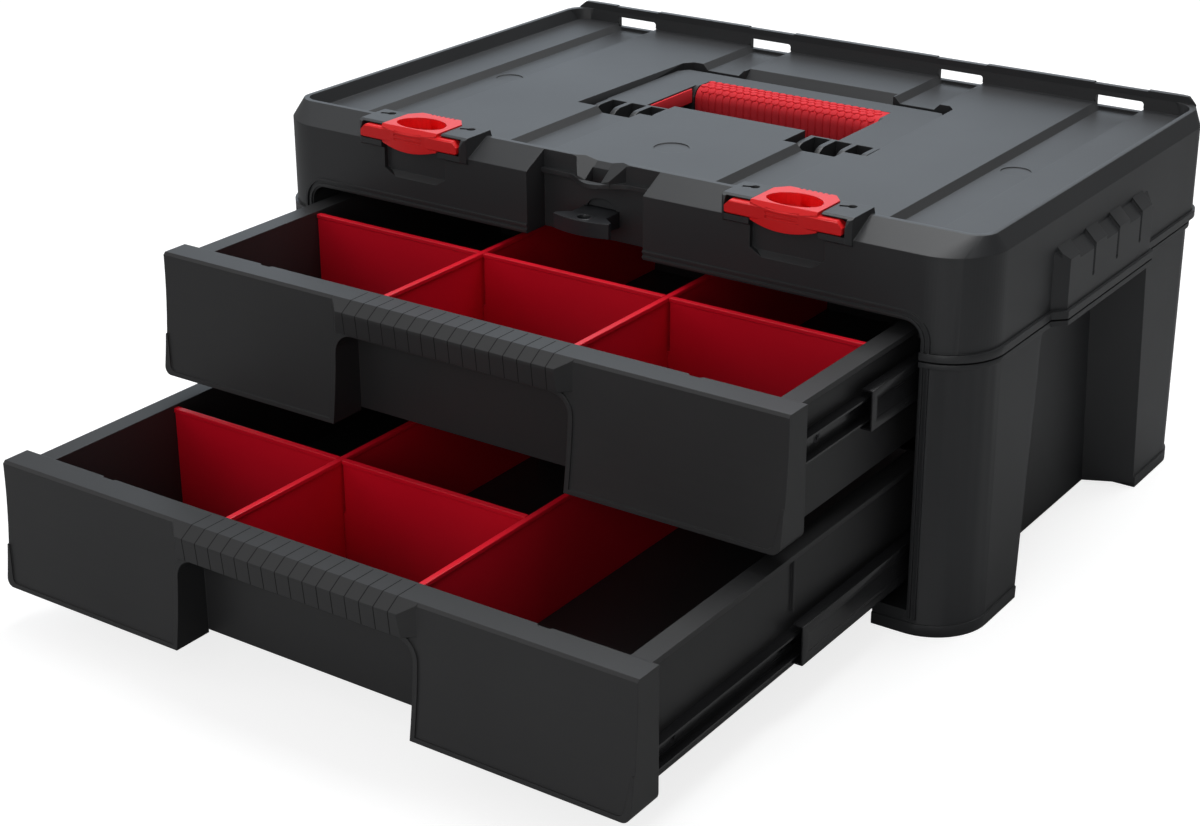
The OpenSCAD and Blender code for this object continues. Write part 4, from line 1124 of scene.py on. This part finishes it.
@dataclass(frozen=True)
class Studio:
    """Floor, world, lamps and camera.

    Attributes:
        camera_place: Where the camera stands.
        azimuth: Degrees that it stands round to the right of the front.
        elevation: Degrees that it looks down.
        roll: Degrees that it is turned about its line of sight.
        lens: Focal length in millimetres.
        sensor: Width of its sensor in millimetres.
        shift: Its shift to the right and up, as a share of the sensor's width.
        clip: Nearest and farthest distance that it shows.
        target: The point that the lamps light.
        floor_size: Length of the floor's side.
        floor_grey: The floor's own grey, which sets how dark the shadow is.
        floor_roughness: The floor's roughness.
        floor_lift: Glow of the floor where the camera sees it.
        world_side: Direction that the world is brightest in.
        world_span: Where the world starts and ends to brighten along that direction.
        world_dark: Light from the world's dark side.
        world_level: Light from its bright side.
        lamps: The lamps.
    """

    camera_place: Point = (0.68809, -1.13194, 0.60168)
    azimuth: float = 33.757
    elevation: float = 22.169
    roll: float = 0.169
    lens: float = 66.907
    sensor: float = 36.0
    shift: tuple[float, float] = (-0.0379, -0.0473)
    clip: tuple[float, float] = (0.05, 50.0)
    target: Point = (0.0, -0.1, 0.12)
    floor_size: float = 14.0
    floor_grey: float = 0.4
    floor_roughness: float = 0.9
    floor_lift: float = 0.8
    world_side: Point = (-0.8, 0.1, 0.6)
    world_span: tuple[float, float] = (-0.9, 0.7)
    world_dark: float = 0.04
    world_level: float = 0.34
    lamps: tuple[Lamp, ...] = (
        Lamp("top_softbox", (0.05, 0.45, 1.9), 1.4, 29.0, (0.98, 0.99, 1.0)),
        Lamp("rear_softbox", (-1.35, 1.9, 1.15), 1.9, 10.0, (0.72, 0.86, 1.0)),
        Lamp("left_softbox", (-1.5, -1.5, 1.3), 1.2, 3.0),
        Lamp("front_softbox", (0.6, -2.3, 0.8), 1.6, 11.0),
    )

    def build(self) -> None:
        """Builds the whole studio."""
        self.make_world()
        self.make_floor()
        for lamp in self.lamps:
            lamp.hang(Vector(self.target))
        self.make_camera()

    def make_world(self) -> None:
        """Makes a plain world that looks white and lights softly, more from one side."""
        world = bpy.data.worlds.new("studio_world")
        bpy.context.scene.world = world
        world.use_nodes = True
        tree = world.node_tree
        place = tree.nodes.new("ShaderNodeTexCoord")
        side = tree.nodes.new("ShaderNodeVectorMath")
        side.operation = "DOT_PRODUCT"
        feed(tree, side, {0: place.outputs["Generated"], 1: self.world_side})
        light = add_range(
            tree, side.outputs["Value"], self.world_span, (self.world_dark, self.world_level),
            "SMOOTHSTEP")
        path = tree.nodes.new("ShaderNodeLightPath")
        seen = add_math(
            tree, "MAXIMUM", path.outputs["Is Camera Ray"], path.outputs["Is Transmission Ray"])
        strength = add_range(tree, seen, (0.0, 1.0), (light, 1.0))
        feed(tree, tree.nodes["Background"], {"Color": WHITE, "Strength": strength})

    def make_floor(self) -> None:
        """Makes the pale floor, which keeps the shadow and fades into the white."""
        deselect()
        bpy.ops.mesh.primitive_plane_add(size=self.floor_size, location=(0.0, 0.0, 0.0))
        floor = bpy.context.object
        floor.name = "floor"
        paint = bpy.data.materials.new("floor_white")
        paint.use_nodes = True
        tree = paint.node_tree
        path = tree.nodes.new("ShaderNodeLightPath")
        grey = self.floor_grey
        feed(tree, tree.nodes["Principled BSDF"], {
            "Base Color": (grey, grey, grey, 1.0),
            "Roughness": self.floor_roughness,
            "Specular IOR Level": 0.0,
            "Emission Color": WHITE,
            "Emission Strength": add_math(
                tree, "MULTIPLY", path.outputs["Is Camera Ray"], self.floor_lift),
        })
        floor.data.materials.append(paint)

    def make_camera(self) -> None:
        """Makes the camera at its place, with its direction, roll and shift."""
        data = bpy.data.cameras.new("camera")
        data.lens = self.lens
        data.sensor_width = self.sensor
        data.shift_x, data.shift_y = self.shift
        data.clip_start, data.clip_end = self.clip
        camera = bpy.data.objects.new("camera", data)
        az, el, roll = (math.radians(v) for v in (self.azimuth, self.elevation, self.roll))
        back = Vector((math.sin(az) * math.cos(el), -math.cos(az) * math.cos(el), math.sin(el)))
        right = Vector((0.0, 0.0, 1.0)).cross(back).normalized()
        up = back.cross(right)
        right_rolled = math.cos(roll) * right + math.sin(roll) * up
        up_rolled = -math.sin(roll) * right + math.cos(roll) * up
        turn = Matrix((right_rolled, up_rolled, back)).transposed()
        camera.matrix_world = Matrix.Translation(Vector(self.camera_place)) @ turn.to_4x4()
        bpy.context.collection.objects.link(camera)
        bpy.context.scene.camera = camera


def main() -> None:
    """Loads the frame, sets up the studio, dresses the frame and models the new pieces."""
    logging.basicConfig(level=logging.INFO, format="%(name)s: %(message)s")
    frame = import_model()
    deselect()
    Studio().build()
    Dresser(frame).dress()
    log.info("built %s", SoftGrip().build().name)
    for level, side in product(Level, Side):
        log.info("built %s", SlideMember(level, side).build().name)
    scene = bpy.context.scene
    scene.view_settings.view_transform = "Standard"


if __name__ == "__main__":
    main()
